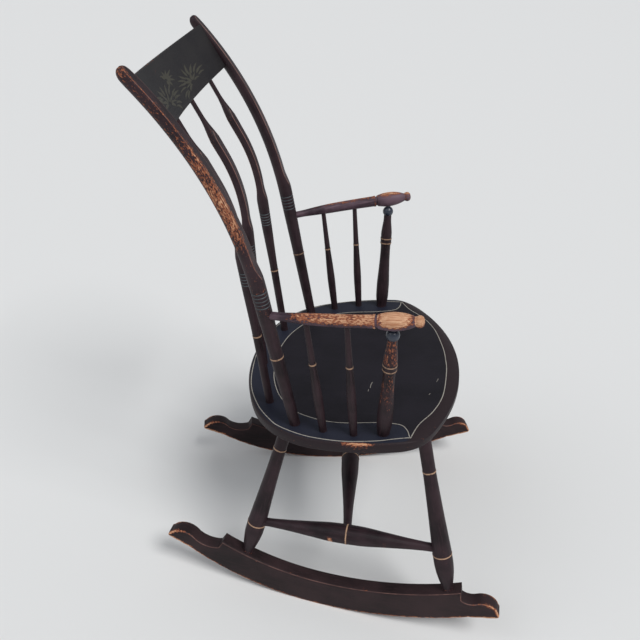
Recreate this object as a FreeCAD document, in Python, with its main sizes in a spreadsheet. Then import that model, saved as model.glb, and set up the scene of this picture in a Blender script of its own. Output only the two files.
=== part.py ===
import FreeCAD, Part
import math
import os

import Sketcher
from FreeCAD import Placement, Rotation, Vector

# Painted wooden armchair on two rockers, lengths in millimetres and angles in degrees
# +Z is up and the sitter faces -Y, so the sitter's right hand is at -X
# The origin is on the floor, midway between the spots where the two rockers touch it
# Round tenons sit in blind round sockets, and each pair is a mirror image across the YZ plane

DRIVING_SIZES = {
    # Seat: a D-shaped plank that slopes down to the rear, measured out and back along its top
    "seat_height": 432.5,
    "seat_slope": 9.35,
    "seat_half_width": 256.0,
    "seat_widest_forward": 66.0,
    "seat_front_reach": 230.0,
    "seat_back_reach": 185.0,
    "seat_thickness": 36.0,
    "seat_front_curve": 400.0,
    "seat_front_corner_curve": 80.0,
    "seat_side_curve": 440.0,
    "seat_back_corner_curve": 170.0,
    "seat_back_curve": 380.0,
    "seat_bevel_rise": 16.0,
    "seat_bevel_run": 32.0,
    "seat_edge_round": 6.0,
    "seat_roll_run": 24.0,
    "seat_roll_drop": 10.0,
    "seat_roll_bulge": 2.4,
    # Fit of a tenon in its socket
    "socket_clearance": 0.15,
    "socket_end_clearance": 0.4,
    # Rockers: boards that part towards the front, with a stepped nose at each end
    "rocker_inset": 34.8,
    "rocker_toe": 9.3,
    "rocker_thickness": 28.0,
    "rocker_depth": 64.0,
    "rear_roll_curve": 540.0,
    "rear_crown_curve": 480.0,
    "rear_step_reach": 195.0,
    "rear_step_drop": 17.0,
    "rear_step_slope": 8.0,
    "rear_dip_length": 47.0,
    "rear_dip_rise": 6.0,
    "rear_dip_sag": 6.0,
    "rear_nose_length": 111.0,
    "rear_nose_fall": 0.0,
    "rear_nose_crown": 14.0,
    "rear_tip_depth": 9.0,
    "rear_tip_round": 4.0,
    "rear_underside_run": 41.0,
    "front_roll_curve": 680.0,
    "front_crown_curve": 600.0,
    "front_step_reach": 276.0,
    "front_step_drop": 21.0,
    "front_step_slope": 5.0,
    "front_dip_length": 28.0,
    "front_dip_rise": 1.0,
    "front_dip_sag": 4.2,
    "front_nose_length": 77.0,
    "front_nose_fall": 14.0,
    "front_nose_crown": 11.0,
    "front_tip_depth": 11.0,
    "front_tip_round": 3.0,
    "front_underside_run": 52.0,
    # Legs: feet on the rockers, tops in the seat
    "rear_leg_reach": 145.0,
    "front_leg_reach": 252.0,
    "rear_leg_inset": 91.0,
    "rear_leg_back": 98.0,
    "front_leg_inset": 56.0,
    "front_leg_forward": 152.0,
    "leg_top_radius": 12.0,
    "leg_swell_radius": 18.0,
    "leg_foot_radius": 10.0,
    "leg_swell_share": 0.25,
    "rear_leg_upper_ring_share": 0.85,
    "front_leg_upper_ring_share": 0.8,
    "leg_foot_bulge": 4.0,
    "leg_top_depth": 24.0,
    "leg_foot_depth": 24.0,
    # Rings cut on the turnings
    "ring_width": 3.2,
    "ring_rise": 0.7,
    "score_width": 2.4,
    "score_depth": 0.9,
    # Stretchers: thin at the ends, swelling to a ring in the middle
    "rear_stretcher_share": 0.26,
    "front_stretcher_share": 0.28,
    "stretcher_end_radius": 8.3,
    "stretcher_swell_radius": 18.6,
    "stretcher_end_stop": 4.0,
    "stretcher_collar": 21.0,
    # Back posts: straight below, bent back above, with the front of the bend shaved flat
    "post_inset": 60.0,
    "post_back": 76.0,
    "post_depth": 24.0,
    "post_lean_back": 16.2,
    "post_lean_out": 3.1,
    "post_straight": 280.0,
    "post_bend_curve": 678.0,
    "post_bend_angle": 31.2,
    "post_foot_radius": 9.6,
    "post_foot_bulge": 0.8,
    "post_ring_radius": 11.3,
    "post_scored_radius": 13.2,
    "post_bent_radius": 12.8,
    "post_top_radius": 11.6,
    "post_top_dome": 16.0,
    "post_top_bulge": 2.5,
    "post_tip_radius": 4.5,
    "post_ring_height": 148.0,
    "post_scored_height": 263.5,
    "post_score_pitch": 6.5,
    "post_flat_offset": 8.6,
    "post_flat_start": 6.0,
    "flat_run_out": 40.0,
    # Back spindles: round below, shaved to a flat paddle above, with a thin neck into the crest
    "spindle_inset": 126.0,
    "side_spindle_back": 129.5,
    "centre_spindle_back": 157.0,
    "spindle_depth": 22.0,
    "spindle_upper_lean": 33.5,
    "spindle_bend_from_crest": 163.0,
    "spindle_bend_curve": 290.0,
    "spindle_foot_radius": 7.4,
    "spindle_ring_radius": 7.5,
    "spindle_scored_radius": 10.3,
    "spindle_bend_radius": 11.2,
    "spindle_shoulder_radius": 11.6,
    "spindle_neck_radius": 3.9,
    "spindle_ring_share": 0.44,
    "spindle_scored_share": 0.79,
    "spindle_score_pitch": 5.6,
    "spindle_shoulder_from_crest": 72.0,
    "spindle_arrow_run": 16.0,
    "spindle_arrow_radius": 6.8,
    "spindle_neck_from_crest": 34.0,
    "spindle_neck_depth": 12.0,
    "spindle_flat_offset": 7.0,
    # Crest: a tablet bent hollow towards the sitter, with its ends let into the posts
    "crest_height_on_post": 559.0,
    "crest_setback": 4.0,
    "crest_width": 87.0,
    "crest_thickness": 10.5,
    "crest_lean_past_spindles": 2.5,
    "crest_hollow": 20.0,
    "crest_let_in": 7.0,
    "crest_clearance": 0.25,
    "crest_edge_round": 2.5,
    # Arms: bent rods that thicken forward and end in a turned urn and a button
    "arm_collar_inset": 4.4,
    "arm_collar_forward": 30.7,
    "arm_collar_above_seat": 246.9,
    "arm_turn_out": 8.65,
    "arm_rise": 12.24,
    "arm_height_on_post": 232.0,
    "arm_tail_radius": 6.8,
    "arm_tail_straight": 26.0,
    "arm_tail_let_in": 8.0,
    "arm_middle_radius": 10.0,
    "arm_middle_share": 0.6,
    "arm_front_radius": 10.8,
    "arm_band_radius": 11.5,
    "arm_band_width": 3.2,
    "arm_groove_radius": 9.2,
    "urn_length": 59.0,
    "urn_back_radius": 11.0,
    "urn_radius": 14.7,
    "urn_widest_from_band": 32.0,
    "urn_shoulder_from_band": 50.0,
    "urn_shoulder_radius": 12.4,
    "urn_bulge": 1.0,
    "urn_neck_radius": 7.8,
    "button_length": 13.0,
    "button_radius": 9.8,
    "button_tip_radius": 4.0,
    # Arm posts: turned, with a ball close under the urn
    "arm_post_inset": 29.9,
    "arm_post_forward": 80.3,
    "arm_post_depth": 24.0,
    "arm_post_foot_radius": 10.8,
    "arm_post_swell_radius": 13.5,
    "arm_post_taper_radius": 11.6,
    "arm_post_waist_radius": 10.2,
    "arm_post_ring_radius": 11.4,
    "arm_post_swell_share": 0.12,
    "arm_post_taper_share": 0.37,
    "arm_post_waist_share": 0.6,
    "arm_post_lower_ring_share": 0.675,
    "arm_post_upper_ring_share": 0.725,
    "arm_post_shoulder_share": 0.77,
    "arm_post_neck_share": 0.91,
    "arm_post_bulge": 0.5,
    "arm_post_neck_radius": 8.0,
    "arm_post_ball_radius": 11.0,
    "arm_post_ball_gap": 0.3,
    "arm_post_tenon_radius": 5.0,
    "arm_post_tenon_depth": 9.0,
    # Arm spindles: two thin turned ones under each arm
    "arm_spindle_depth": 20.0,
    "arm_spindle_foot_radius": 6.6,
    "arm_spindle_swell_radius": 8.0,
    "arm_spindle_top_radius": 4.6,
    "arm_spindle_let_in": 5.5,
    "arm_spindle_ring_radius": 5.8,
    "arm_spindle_swell_share": 0.3,
    "arm_spindle_ring_share": 0.62,
    "rear_arm_spindle_inset": 39.0,
    "rear_arm_spindle_back": 24.5,
    "rear_arm_spindle_on_arm": 110.0,
    "front_arm_spindle_inset": 27.4,
    "front_arm_spindle_forward": 29.0,
    "front_arm_spindle_on_arm": 42.0,
}

SIDES = {"right": -1, "left": 1}
UP = Vector(0, 0, 1)
START = 1
END = 2
CENTRE = 3
ORIGIN = -1
ON_V_AXIS = -2
ON_H_AXIS = -1


# Sizes, and the formulas that bind the features to them
class Size:
    """A number from the sheet that carries the formula it was worked out with."""

    def __init__(self, value, text):
        self.value = float(value)
        self.text = text

    def __add__(self, other):
        return Size(self.value + number(other), "(%s + %s)" % (self.text, formula(other)))

    def __radd__(self, other):
        return Size(number(other) + self.value, "(%s + %s)" % (formula(other), self.text))

    def __sub__(self, other):
        return Size(self.value - number(other), "(%s - %s)" % (self.text, formula(other)))

    def __rsub__(self, other):
        return Size(number(other) - self.value, "(%s - %s)" % (formula(other), self.text))

    def __mul__(self, other):
        return Size(self.value * number(other), "(%s * %s)" % (self.text, formula(other)))

    def __rmul__(self, other):
        return Size(number(other) * self.value, "(%s * %s)" % (formula(other), self.text))

    def __truediv__(self, other):
        return Size(self.value / number(other), "(%s / %s)" % (self.text, formula(other)))

    def __neg__(self):
        return Size(-self.value, "(0 - %s)" % self.text)


def number(item):
    return item.value if isinstance(item, Size) else float(item)


def formula(item):
    return item.text if isinstance(item, Size) else "%.9g" % item


def radical(item):
    return Size(math.sqrt(item.value), "sqrt(%s)" % item.text)


class Sheet:
    """The document's spreadsheet; each of its sizes is read as an attribute."""

    def __init__(self, doc):
        self.cells = doc.addObject("Spreadsheet::Sheet", "Sizes")
        self.rows = 0

    def add(self, name, value):
        self.rows += 1
        self.cells.set("A%d" % self.rows, name)
        self.cells.set("B%d" % self.rows, "%.9g" % value)
        self.cells.setAlias("B%d" % self.rows, name)
        size = Size("%.9g" % value, "Sizes.%s" % name)
        setattr(self, name, size)
        return size


doc = FreeCAD.newDocument("rocking_chair")
dim = Sheet(doc)
for size_name, size_value in DRIVING_SIZES.items():
    dim.add(size_name, size_value)
doc.recompute()


# Places that move with the seat's width and height
dim.rocker_spacing = 2 * (dim.seat_half_width - dim.rocker_inset)
dim.rear_leg_out = dim.seat_half_width - dim.rear_leg_inset
dim.front_leg_out = dim.seat_half_width - dim.front_leg_inset
dim.post_out = dim.seat_half_width - dim.post_inset
dim.spindle_spacing = dim.seat_half_width - dim.spindle_inset
dim.arm_collar_out = dim.seat_half_width - dim.arm_collar_inset
dim.arm_collar_height = dim.seat_height + dim.arm_collar_above_seat
dim.arm_post_out = dim.seat_half_width - dim.arm_post_inset
dim.rear_arm_spindle_out = dim.seat_half_width - dim.rear_arm_spindle_inset
dim.front_arm_spindle_out = dim.seat_half_width - dim.front_arm_spindle_inset


# Outlines, with every corner and radius bound to the sheet
class Outline:
    """A sketch on one of its body's own planes."""

    def __init__(self, body, plane, name, offset=None):
        self.sketch = body.newObject("Sketcher::SketchObject", name)
        support = [item for item in body.Origin.OriginFeatures if item.Role == plane]
        self.sketch.AttachmentSupport = (support[0], "")
        self.sketch.MapMode = "FlatFace"
        if offset is not None:
            self.sketch.AttachmentOffset = offset

    def constrain(self, *terms):
        """Adds a constraint; a size as its last term stays bound to the sheet."""
        values = [number(term) if isinstance(term, Size) else term for term in terms]
        index = self.sketch.addConstraint(Sketcher.Constraint(*values))
        if isinstance(terms[-1], Size):
            self.sketch.setExpression("Constraints[%d]" % index, terms[-1].text)

    def line(self, start, end):
        ends = [Vector(number(point[0]), number(point[1]), 0) for point in (start, end)]
        return self.sketch.addGeometry(Part.LineSegment(*ends), False)

    def arc(self, start, end, bulge):
        """An arc whose middle stands to the right of its chord by the bulge."""
        first = Vector(number(start[0]), number(start[1]), 0)
        last = Vector(number(end[0]), number(end[1]), 0)
        chord = (last - first).normalize()
        middle = (first + last) * 0.5 + Vector(chord.y, -chord.x, 0) * number(bulge)
        if number(bulge) < 0:
            first, last = last, first
        return self.sketch.addGeometry(Part.Arc(first, middle, last), False)

    def circle(self, radius):
        index = self.sketch.addGeometry(Part.Circle(Vector(), UP, number(radius)), False)
        self.constrain("Coincident", index, CENTRE, ORIGIN, START)
        self.constrain("Radius", index, radius)

    def place(self, index, position, point):
        for kind, axis, distance in zip(("DistanceX", "DistanceY"), (ON_V_AXIS, ON_H_AXIS), point):
            if isinstance(distance, Size) or distance != 0:
                self.constrain(kind, ORIGIN, START, index, position, distance)
            else:
                self.constrain("PointOnObject", index, position, axis)

    def path(self, points, bulges):
        """A closed path: a line leaves each point, or an arc where the point has a bulge."""
        ends = []
        for step, start in enumerate(points):
            end = points[(step + 1) % len(points)]
            bulge = bulges.get(step)
            index = self.line(start, end) if bulge is None else self.arc(start, end, bulge)
            # A sketched arc always runs counter-clockwise, so a hollow one starts at its far end
            hollow = bulge is not None and number(bulge) < 0
            near, far = (END, START) if hollow else (START, END)
            self.place(index, near, start)
            ends.append((index, near, index, far))
        for first, second in zip(ends, ends[1:] + ends[:1]):
            self.constrain("Coincident", *first[2:], *second[:2])


# Features
def new_body(label, placement):
    body = doc.addObject("PartDesign::Body", label)
    body.Label = label
    body.Placement = placement
    return body


def bind(feature, attribute, size):
    setattr(feature, attribute, number(size))
    if isinstance(size, Size):
        feature.setExpression(attribute, size.text)


def extrude(body, kind, outline, length):
    """A Pad or Pocket that runs as far to one side of its outline as to the other."""
    feature = body.newObject("PartDesign::" + kind, outline.sketch.Name + "_" + kind.lower())
    feature.Profile = outline.sketch
    feature.SideType = "Symmetric"
    bind(feature, "Length", length)
    return feature


def turn(body, name, stations, offset=None):
    """Turns stations of (height, radius), or (height, radius, bulge up to the next)."""
    outline = Outline(body, "XZ_Plane", name, offset)
    points = [(0, stations[0][0])]
    points += [(station[1], station[0]) for station in stations]
    points.append((0, stations[-1][0]))
    bulges = {step + 1: station[2] for step, station in enumerate(stations) if len(station) > 2}
    outline.path(points, bulges)
    feature = body.newObject("PartDesign::Revolution", name + "_turning")
    feature.Profile = outline.sketch
    feature.ReferenceAxis = (outline.sketch, ["V_Axis"])
    feature.Angle = 360


def ring(height, radius):
    """A low band round a turning of this radius."""
    low = height - dim.ring_width / 2
    high = height + dim.ring_width / 2
    proud = radius + dim.ring_rise
    return [(low, radius), (low, proud), (high, proud), (high, radius)]


def scores(height, radius, pitch):
    """Five V grooves, spaced by the pitch and centred on the height."""
    stations = []
    for groove in (-2, -1, 0, 1, 2):
        middle = height + pitch * groove
        stations.append((middle - dim.score_width / 2, radius))
        stations.append((middle, radius - dim.score_depth))
        stations.append((middle + dim.score_width / 2, radius))
    return stations


def bore(body, name, start, end, radius):
    """A round socket for a tenon of this radius whose end lies at the given end."""
    drill = body.newObject("PartDesign::SubtractiveCylinder", name)
    bind(drill, "Radius", radius + dim.socket_clearance)
    drill.Height = (end - start).Length + dim.socket_end_clearance.value
    drill.Placement = body.Placement.inverse() * along(start, end)


def long_edges(shape, axis, face_at):
    """Names of the edges that lie wholly in one of the planes square to an axis."""
    names = []
    for index, edge in enumerate(shape.Edges):
        spots = [vertex.Point for vertex in edge.Vertexes]
        spots.append(edge.valueAt((edge.FirstParameter + edge.LastParameter) / 2))
        for height in face_at:
            if all(abs(getattr(spot, axis) - height) < 1e-4 for spot in spots):
                names.append("Edge%d" % (index + 1))
    return names


def round_edges(body, base, axis, face_at, radius):
    doc.recompute()
    feature = body.newObject("PartDesign::Fillet", base.Name + "_round")
    feature.Base = (base, long_edges(base.Shape, axis, face_at))
    bind(feature, "Radius", radius)
    return feature


# Places and directions
def along(start, end):
    """A placement at the start whose Z axis points to the end."""
    return Placement(start, Rotation(UP, end - start))


def facing(origin, z_axis, y_side):
    """A placement with this Z axis, its Y axis turned towards the given side."""
    ahead = Vector(z_axis).normalize()
    across = y_side.cross(ahead).normalize()
    return Placement(origin, Rotation(across, ahead.cross(across), ahead, "ZXY"))


def to_side(point, side):
    return Vector(point.x * side, point.y, point.z)


SEAT = Placement(
    Vector(0, 0, dim.seat_height.value), Rotation(Vector(1, 0, 0), -dim.seat_slope.value)
)


def seat_point(side, out, back, below=0):
    """A point on the seat's top, or below it along the seat's own thickness."""
    return SEAT.multVec(Vector(side * number(out), number(back), -number(below)))


def rocker_placement(side):
    """At the spot that touches the floor: X runs to the front along the board, Z is up."""
    toe = math.radians(dim.rocker_toe.value)
    forward = Vector(side * math.sin(toe), -math.cos(toe), 0)
    origin = Vector(side * dim.rocker_spacing.value / 2, 0, 0)
    return Placement(origin, Rotation(forward, UP.cross(forward), UP, "ZXY"))


def crown_height(reach, curve):
    """Height of the rocker's top edge at a reach from its lowest spot."""
    return dim.rocker_depth + curve - radical(curve * curve - reach * reach)


def roll_height(reach, curve):
    """Height of the rocker's rolling edge at a reach from its lowest spot."""
    return curve - radical(curve * curve - reach * reach)


# Members that run straight along Z and then bend towards their own +Y
def bend_point(straight, curve, angle):
    """The centre line's point at an angle of the bend."""
    turned = math.radians(number(angle))
    rise = number(straight) + number(curve) * math.sin(turned)
    return Vector(0, number(curve) * (1 - math.cos(turned)), rise)


def bend_end(straight, curve, angle):
    """A placement for a sketch on the XZ plane, moved to the end of the bend."""
    point = bend_point(straight, curve, angle)
    return Placement(Vector(0, point.z, -point.y), Rotation(Vector(1, 0, 0), -number(angle)))


def bend_frame(straight, curve, angle):
    return Placement(bend_point(straight, curve, angle), Rotation(Vector(1, 0, 0), -number(angle)))


def bend(body, name, straight, curve, sections):
    """Round sections, each an (angle, radius), lofted along the bend."""
    sketches = []
    for index, (angle, radius) in enumerate(sections):
        outline = Outline(body, "XY_Plane", "%s_section_%d" % (name, index + 1))
        outline.circle(radius)
        sketch = outline.sketch
        sketch.AttachmentOffset = bend_frame(straight, curve, angle)
        bound = (formula(curve), formula(angle))
        sketch.setExpression("AttachmentOffset.Base.y", "%s * (1 - cos(%s * 1 deg))" % bound)
        rise = "%s + %s * sin(%s * 1 deg)" % ((formula(straight),) + bound)
        sketch.setExpression("AttachmentOffset.Base.z", rise)
        sketches.append(sketch)
    loft = body.newObject("PartDesign::AdditiveLoft", name + "_bend")
    loft.Profile = sketches[0]
    loft.Sections = sketches[1:]


def shave(body, name, straight, curve, angle, after, offset, start, widest, on_front):
    """Cuts a flat that follows the bend, with a sloping run-out at its lower end."""
    side = 1 if on_front else -1
    flat_reach = number(curve) + side * number(offset)
    clear_reach = number(curve) + side * (number(widest) + 2)
    start_angle = math.degrees(number(start) / number(curve))
    full_angle = math.degrees((number(start) + dim.flat_run_out.value) / number(curve))

    def spot(reach, turned, beyond=0.0):
        turned = math.radians(turned)
        height = number(straight) + reach * math.sin(turned) + beyond * math.cos(turned)
        return (number(curve) - reach * math.cos(turned) + beyond * math.sin(turned), height)

    def sag(reach, first, last):
        return reach * (1 - math.cos(math.radians(last - first) / 2))

    end = number(angle)
    points = [spot(clear_reach, start_angle), spot(flat_reach, full_angle), spot(flat_reach, end)]
    points += [spot(flat_reach, end, after), spot(clear_reach, end, after)]
    points.append(spot(clear_reach, end))
    bulges = {
        1: -sag(flat_reach, full_angle, end),
        5: sag(clear_reach, start_angle, end),
    }
    outline = Outline(body, "YZ_Plane", name)
    outline.path(points, bulges)
    extrude(body, "Pocket", outline, 4 * dim.post_scored_radius)


# Where the members meet
def post_frame(side):
    lean = Rotation(Vector(0, 1, 0), side * dim.post_lean_out.value)
    lean = lean * Rotation(Vector(1, 0, 0), -dim.post_lean_back.value)
    return Placement(seat_point(side, dim.post_out, dim.post_back), lean)


def post_place(side, distance):
    """The centre line's placement at a distance up the post; its -Y faces the sitter."""
    straight = dim.post_straight.value
    if distance < straight:
        return post_frame(side) * Placement(Vector(0, 0, distance), Rotation())
    angle = math.degrees((distance - straight) / dim.post_bend_curve.value)
    return post_frame(side) * bend_frame(straight, dim.post_bend_curve, angle)


def arm_direction():
    """The direction of the left arm's front, which turns out and up."""
    turned = math.radians(dim.arm_turn_out.value)
    rise = math.radians(dim.arm_rise.value)
    level = math.cos(rise)
    return Vector(level * math.sin(turned), -level * math.cos(turned), math.sin(rise))


def arm_frame(side):
    """At the band: Z runs back along the arm, and Y is the way that the arm bends."""
    band = Vector(dim.arm_collar_out.value, -dim.arm_collar_forward.value, dim.arm_collar_height.value)
    tail = post_place(1, dim.arm_height_on_post.value).Base
    back = -arm_direction()
    aside = (tail - band) - back * back.dot(tail - band)
    return facing(to_side(band, side), to_side(back, side), to_side(aside, side))


ARM_TAIL = arm_frame(1).inverse().multVec(post_place(1, dim.arm_height_on_post.value).Base)
arm_curve = dim.add("arm_curve", ARM_TAIL.dot(ARM_TAIL) / (2 * ARM_TAIL.y))
arm_sweep = math.degrees(2 * math.atan2(ARM_TAIL.y, ARM_TAIL.z))
arm_bend_angle = dim.add(
    "arm_bend_angle", arm_sweep - math.degrees(dim.arm_tail_straight.value / arm_curve.value)
)


def arm_place(side, distance):
    """The arm's centre line at a distance behind its band."""
    angle = math.degrees(distance / arm_curve.value)
    return arm_frame(side) * bend_frame(0, arm_curve, angle)


def arm_urn_point(side):
    """The middle of the urn at its widest."""
    return arm_frame(side).multVec(Vector(0, 0, -dim.urn_widest_from_band.value))


def leg_foot(side, reach, curve):
    height = crown_height(reach, curve).value
    return rocker_placement(side).multVec(Vector(number(reach), 0, height))


LEGS = {
    "rear": {
        "foot": (-dim.rear_leg_reach, dim.rear_crown_curve),
        "top": (dim.rear_leg_out, dim.rear_leg_back),
        "stretcher_share": dim.rear_stretcher_share,
        "ring_share": dim.rear_leg_upper_ring_share,
    },
    "front": {
        "foot": (dim.front_leg_reach, dim.front_crown_curve),
        "top": (dim.front_leg_out, -dim.front_leg_forward),
        "stretcher_share": dim.front_stretcher_share,
        "ring_share": dim.front_leg_upper_ring_share,
    },
}


def leg_ends(row, side):
    out, back = LEGS[row]["top"]
    return leg_foot(side, *LEGS[row]["foot"]), seat_point(side, out, back, dim.seat_thickness)


def stretcher_joint(row, side):
    foot, top = leg_ends(row, side)
    return foot + (top - foot) * LEGS[row]["stretcher_share"].value


def stretcher_middle(side):
    return (stretcher_joint("rear", side) + stretcher_joint("front", side)) * 0.5


def crest_reach():
    """How far out the crest's ends lie, which is a little inside the posts."""
    middle = dim.crest_height_on_post.value + dim.crest_width.value / 2
    post = post_place(1, middle).Base.x
    return post - dim.post_bent_radius.value + dim.crest_let_in.value


crest_half = dim.add("crest_half", crest_reach())
crest_curve = (crest_half * crest_half + dim.crest_hollow * dim.crest_hollow) / (2 * dim.crest_hollow)
crest_lean = dim.spindle_upper_lean + dim.crest_lean_past_spindles
crest_end_angle = math.degrees(math.asin(crest_half.value / crest_curve.value))


def crest_frame():
    """At the middle of the crest's lower front edge: Z runs up the crest, Y is behind it."""
    seat_of_end = post_place(1, dim.crest_height_on_post.value)
    end = seat_of_end.multVec(Vector(0, dim.crest_setback.value, 0))
    leaning = Rotation(Vector(1, 0, 0), -crest_lean.value)
    middle = Vector(0, end.y, end.z) + leaning.multVec(Vector(0, dim.crest_hollow.value, 0))
    return Placement(middle, leaning)


def crest_point(x, up, behind):
    """A point of the crest at x, up from its lower edge and behind its front face."""
    reach = crest_curve.value + behind
    back = math.sqrt(reach ** 2 - x ** 2) - crest_curve.value
    return crest_frame().multVec(Vector(x, back, up))


SPINDLES = {
    "right": (-1, dim.side_spindle_back),
    "centre": (0, dim.centre_spindle_back),
    "left": (1, dim.side_spindle_back),
}


class SpindlePath:
    """A back spindle: its foot in the seat, its bend, and its neck in the crest."""

    def __init__(self, name):
        column, back = SPINDLES[name]
        across = column * dim.spindle_spacing.value
        lean = dim.spindle_upper_lean.value
        self.foot = seat_point(column, dim.spindle_spacing, back)
        self.neck = crest_point(across, 0, dim.crest_thickness.value / 2)
        self.upward = Rotation(Vector(1, 0, 0), -lean).multVec(UP)
        corner = self.neck - self.upward * dim.spindle_bend_from_crest.value
        lower = corner - self.foot
        turned = lean - math.degrees(math.atan2(lower.y, lower.z))
        cut = dim.spindle_bend_curve.value * math.tan(math.radians(turned) / 2)
        self.straight = dim.add("spindle_%s_straight" % name, lower.Length - cut)
        self.angle = dim.add("spindle_%s_bend" % name, turned)
        self.upper = dim.add("spindle_%s_upper" % name, dim.spindle_bend_from_crest.value - cut)
        self.frame = facing(self.foot, lower, Vector(0, 1, 0))


ARM_SPINDLES = {
    "rear": (dim.rear_arm_spindle_out, dim.rear_arm_spindle_back, dim.rear_arm_spindle_on_arm),
    "front": (
        dim.front_arm_spindle_out,
        -dim.front_arm_spindle_forward,
        dim.front_arm_spindle_on_arm,
    ),
}


def arm_spindle_ends(row, side):
    """The foot on the seat, and the top inside the arm's underside."""
    out, back, on_arm = ARM_SPINDLES[row]
    foot = seat_point(side, out, back)
    centre = arm_place(side, on_arm.value).Base
    depth = dim.arm_middle_radius.value - dim.arm_spindle_let_in.value
    return foot, centre - (centre - foot).normalize() * depth


# Seat
def make_seat():
    body = new_body("seat", SEAT)
    front = (0, dim.seat_front_curve - dim.seat_front_reach)
    back = (0, dim.seat_back_reach - dim.seat_back_curve)
    left = (dim.seat_half_width - dim.seat_side_curve, -dim.seat_widest_forward)
    right = (-left[0], left[1])
    circles = [
        (front, dim.seat_front_curve),
        (None, dim.seat_front_corner_curve),
        (left, dim.seat_side_curve),
        (None, dim.seat_back_corner_curve),
        (back, dim.seat_back_curve),
        (None, dim.seat_back_corner_curve),
        (right, dim.seat_side_curve),
        (None, dim.seat_front_corner_curve),
    ]
    centres = []
    for index, (centre, radius) in enumerate(circles):
        if centre is not None:
            centres.append(Vector(number(centre[0]), number(centre[1]), 0))
            continue
        before = circles[index - 1]
        after = circles[(index + 1) % len(circles)]
        centres.append(corner_centre(before, after, radius.value, on_left=index < 4))
    joints = []
    for index, (centre, radius) in enumerate(circles):
        small, large = (index, index - 1) if centre is None else (index - 1, index)
        toward = (centres[small] - centres[large]).normalize()
        joints.append(centres[large] + toward * circles[large][1].value)
    outline = Outline(body, "XY_Plane", "seat_outline")
    for index, (centre, radius) in enumerate(circles):
        spot = centres[index]
        angles = []
        for joint in (joints[index], joints[(index + 1) % len(joints)]):
            angles.append(math.atan2(joint.y - spot.y, joint.x - spot.x))
        if angles[1] < angles[0]:
            angles[1] += 2 * math.pi
        circle = Part.Circle(spot, UP, radius.value)
        outline.sketch.addGeometry(Part.ArcOfCircle(circle, *angles), False)
    for index, (centre, radius) in enumerate(circles):
        outline.constrain("Tangent", index, END, (index + 1) % len(circles), START)
    for index, (centre, radius) in enumerate(circles):
        outline.constrain("Radius", index, radius)
        if centre is not None:
            outline.place(index, CENTRE, centre)
    plank = body.newObject("PartDesign::Pad", "seat_plank")
    plank.Profile = outline.sketch
    plank.Reversed = True
    bind(plank, "Length", dim.seat_thickness)
    doc.recompute()
    bevel = body.newObject("PartDesign::Chamfer", "seat_bevel")
    bevel.Base = (plank, long_edges(plank.Shape, "z", [-dim.seat_thickness.value]))
    bevel.ChamferType = "Two distances"
    bind(bevel, "Size", dim.seat_bevel_rise)
    bind(bevel, "Size2", dim.seat_bevel_run)
    round_edges(body, bevel, "z", [0], dim.seat_edge_round)
    roll_front(body)
    drill_seat(body)


def roll_front(body):
    """Eases the top down towards the front edge, as wide as the front curve is long."""
    centre = Placement(Vector(number(dim.seat_front_curve - dim.seat_front_reach), 0, 0), Rotation())
    outline = Outline(body, "YZ_Plane", "seat_roll_outline", centre)
    start = -(dim.seat_front_curve - dim.seat_roll_run)
    past = -(dim.seat_front_curve + dim.seat_edge_round)
    drop = dim.seat_roll_drop * (dim.seat_roll_run + dim.seat_edge_round) / dim.seat_roll_run
    points = [(start, 0), (start, dim.seat_edge_round), (past, dim.seat_edge_round), (past, -drop)]
    outline.path(points, {3: -dim.seat_roll_bulge})
    groove = body.newObject("PartDesign::Groove", "seat_roll")
    groove.Profile = outline.sketch
    groove.ReferenceAxis = (outline.sketch, ["V_Axis"])
    groove.Angle = 360


def corner_centre(before, after, radius, on_left):
    """The centre of a corner that runs smoothly into the curves before and after it."""
    first = Vector(number(before[0][0]), number(before[0][1]), 0)
    second = Vector(number(after[0][0]), number(after[0][1]), 0)
    reach_first = before[1].value - radius
    reach_second = after[1].value - radius
    apart = (second - first).Length
    towards = (second - first) / apart
    distance = (reach_first ** 2 - reach_second ** 2 + apart ** 2) / (2 * apart)
    height = math.sqrt(reach_first ** 2 - distance ** 2)
    aside = Vector(-towards.y, towards.x, 0) * height
    choices = [first + towards * distance + aside, first + towards * distance - aside]
    choices.sort(key=lambda point: point.x)
    return choices[-1] if on_left else choices[0]


def drill_seat(body):
    """Blind sockets from above for what stands on the seat, and from below for the legs."""
    for side_name, side in SIDES.items():
        frame = post_frame(side)
        name = "post_socket_" + side_name
        sink(body, name, frame.Base, frame.multVec(UP), dim.post_depth, dim.post_foot_radius)
        foot = seat_point(side, dim.arm_post_out, -dim.arm_post_forward)
        name = "arm_post_socket_" + side_name
        sink(body, name, foot, arm_urn_point(side), dim.arm_post_depth, dim.arm_post_foot_radius)
        for row in ARM_SPINDLES:
            foot, top = arm_spindle_ends(row, side)
            name = "%s_arm_spindle_socket_%s" % (row, side_name)
            sink(body, name, foot, top, dim.arm_spindle_depth, dim.arm_spindle_foot_radius)
        for row in LEGS:
            foot, top = leg_ends(row, side)
            name = "%s_leg_socket_%s" % (row, side_name)
            sink(body, name, top, foot, dim.leg_top_depth, dim.leg_top_radius)
    for spindle, path in SPINDLE_PATHS.items():
        name = "spindle_socket_" + spindle
        upper = path.frame.multVec(UP)
        sink(body, name, path.foot, upper, dim.spindle_depth, dim.spindle_foot_radius)


def sink(body, name, mouth, outside, depth, radius):
    """A socket that goes down from its mouth, away from a point outside the wood."""
    outward = (outside - mouth).normalize()
    over = outward * (2 * radius.value)
    bore(body, name, mouth + over, mouth - outward * depth.value, radius)


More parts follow.
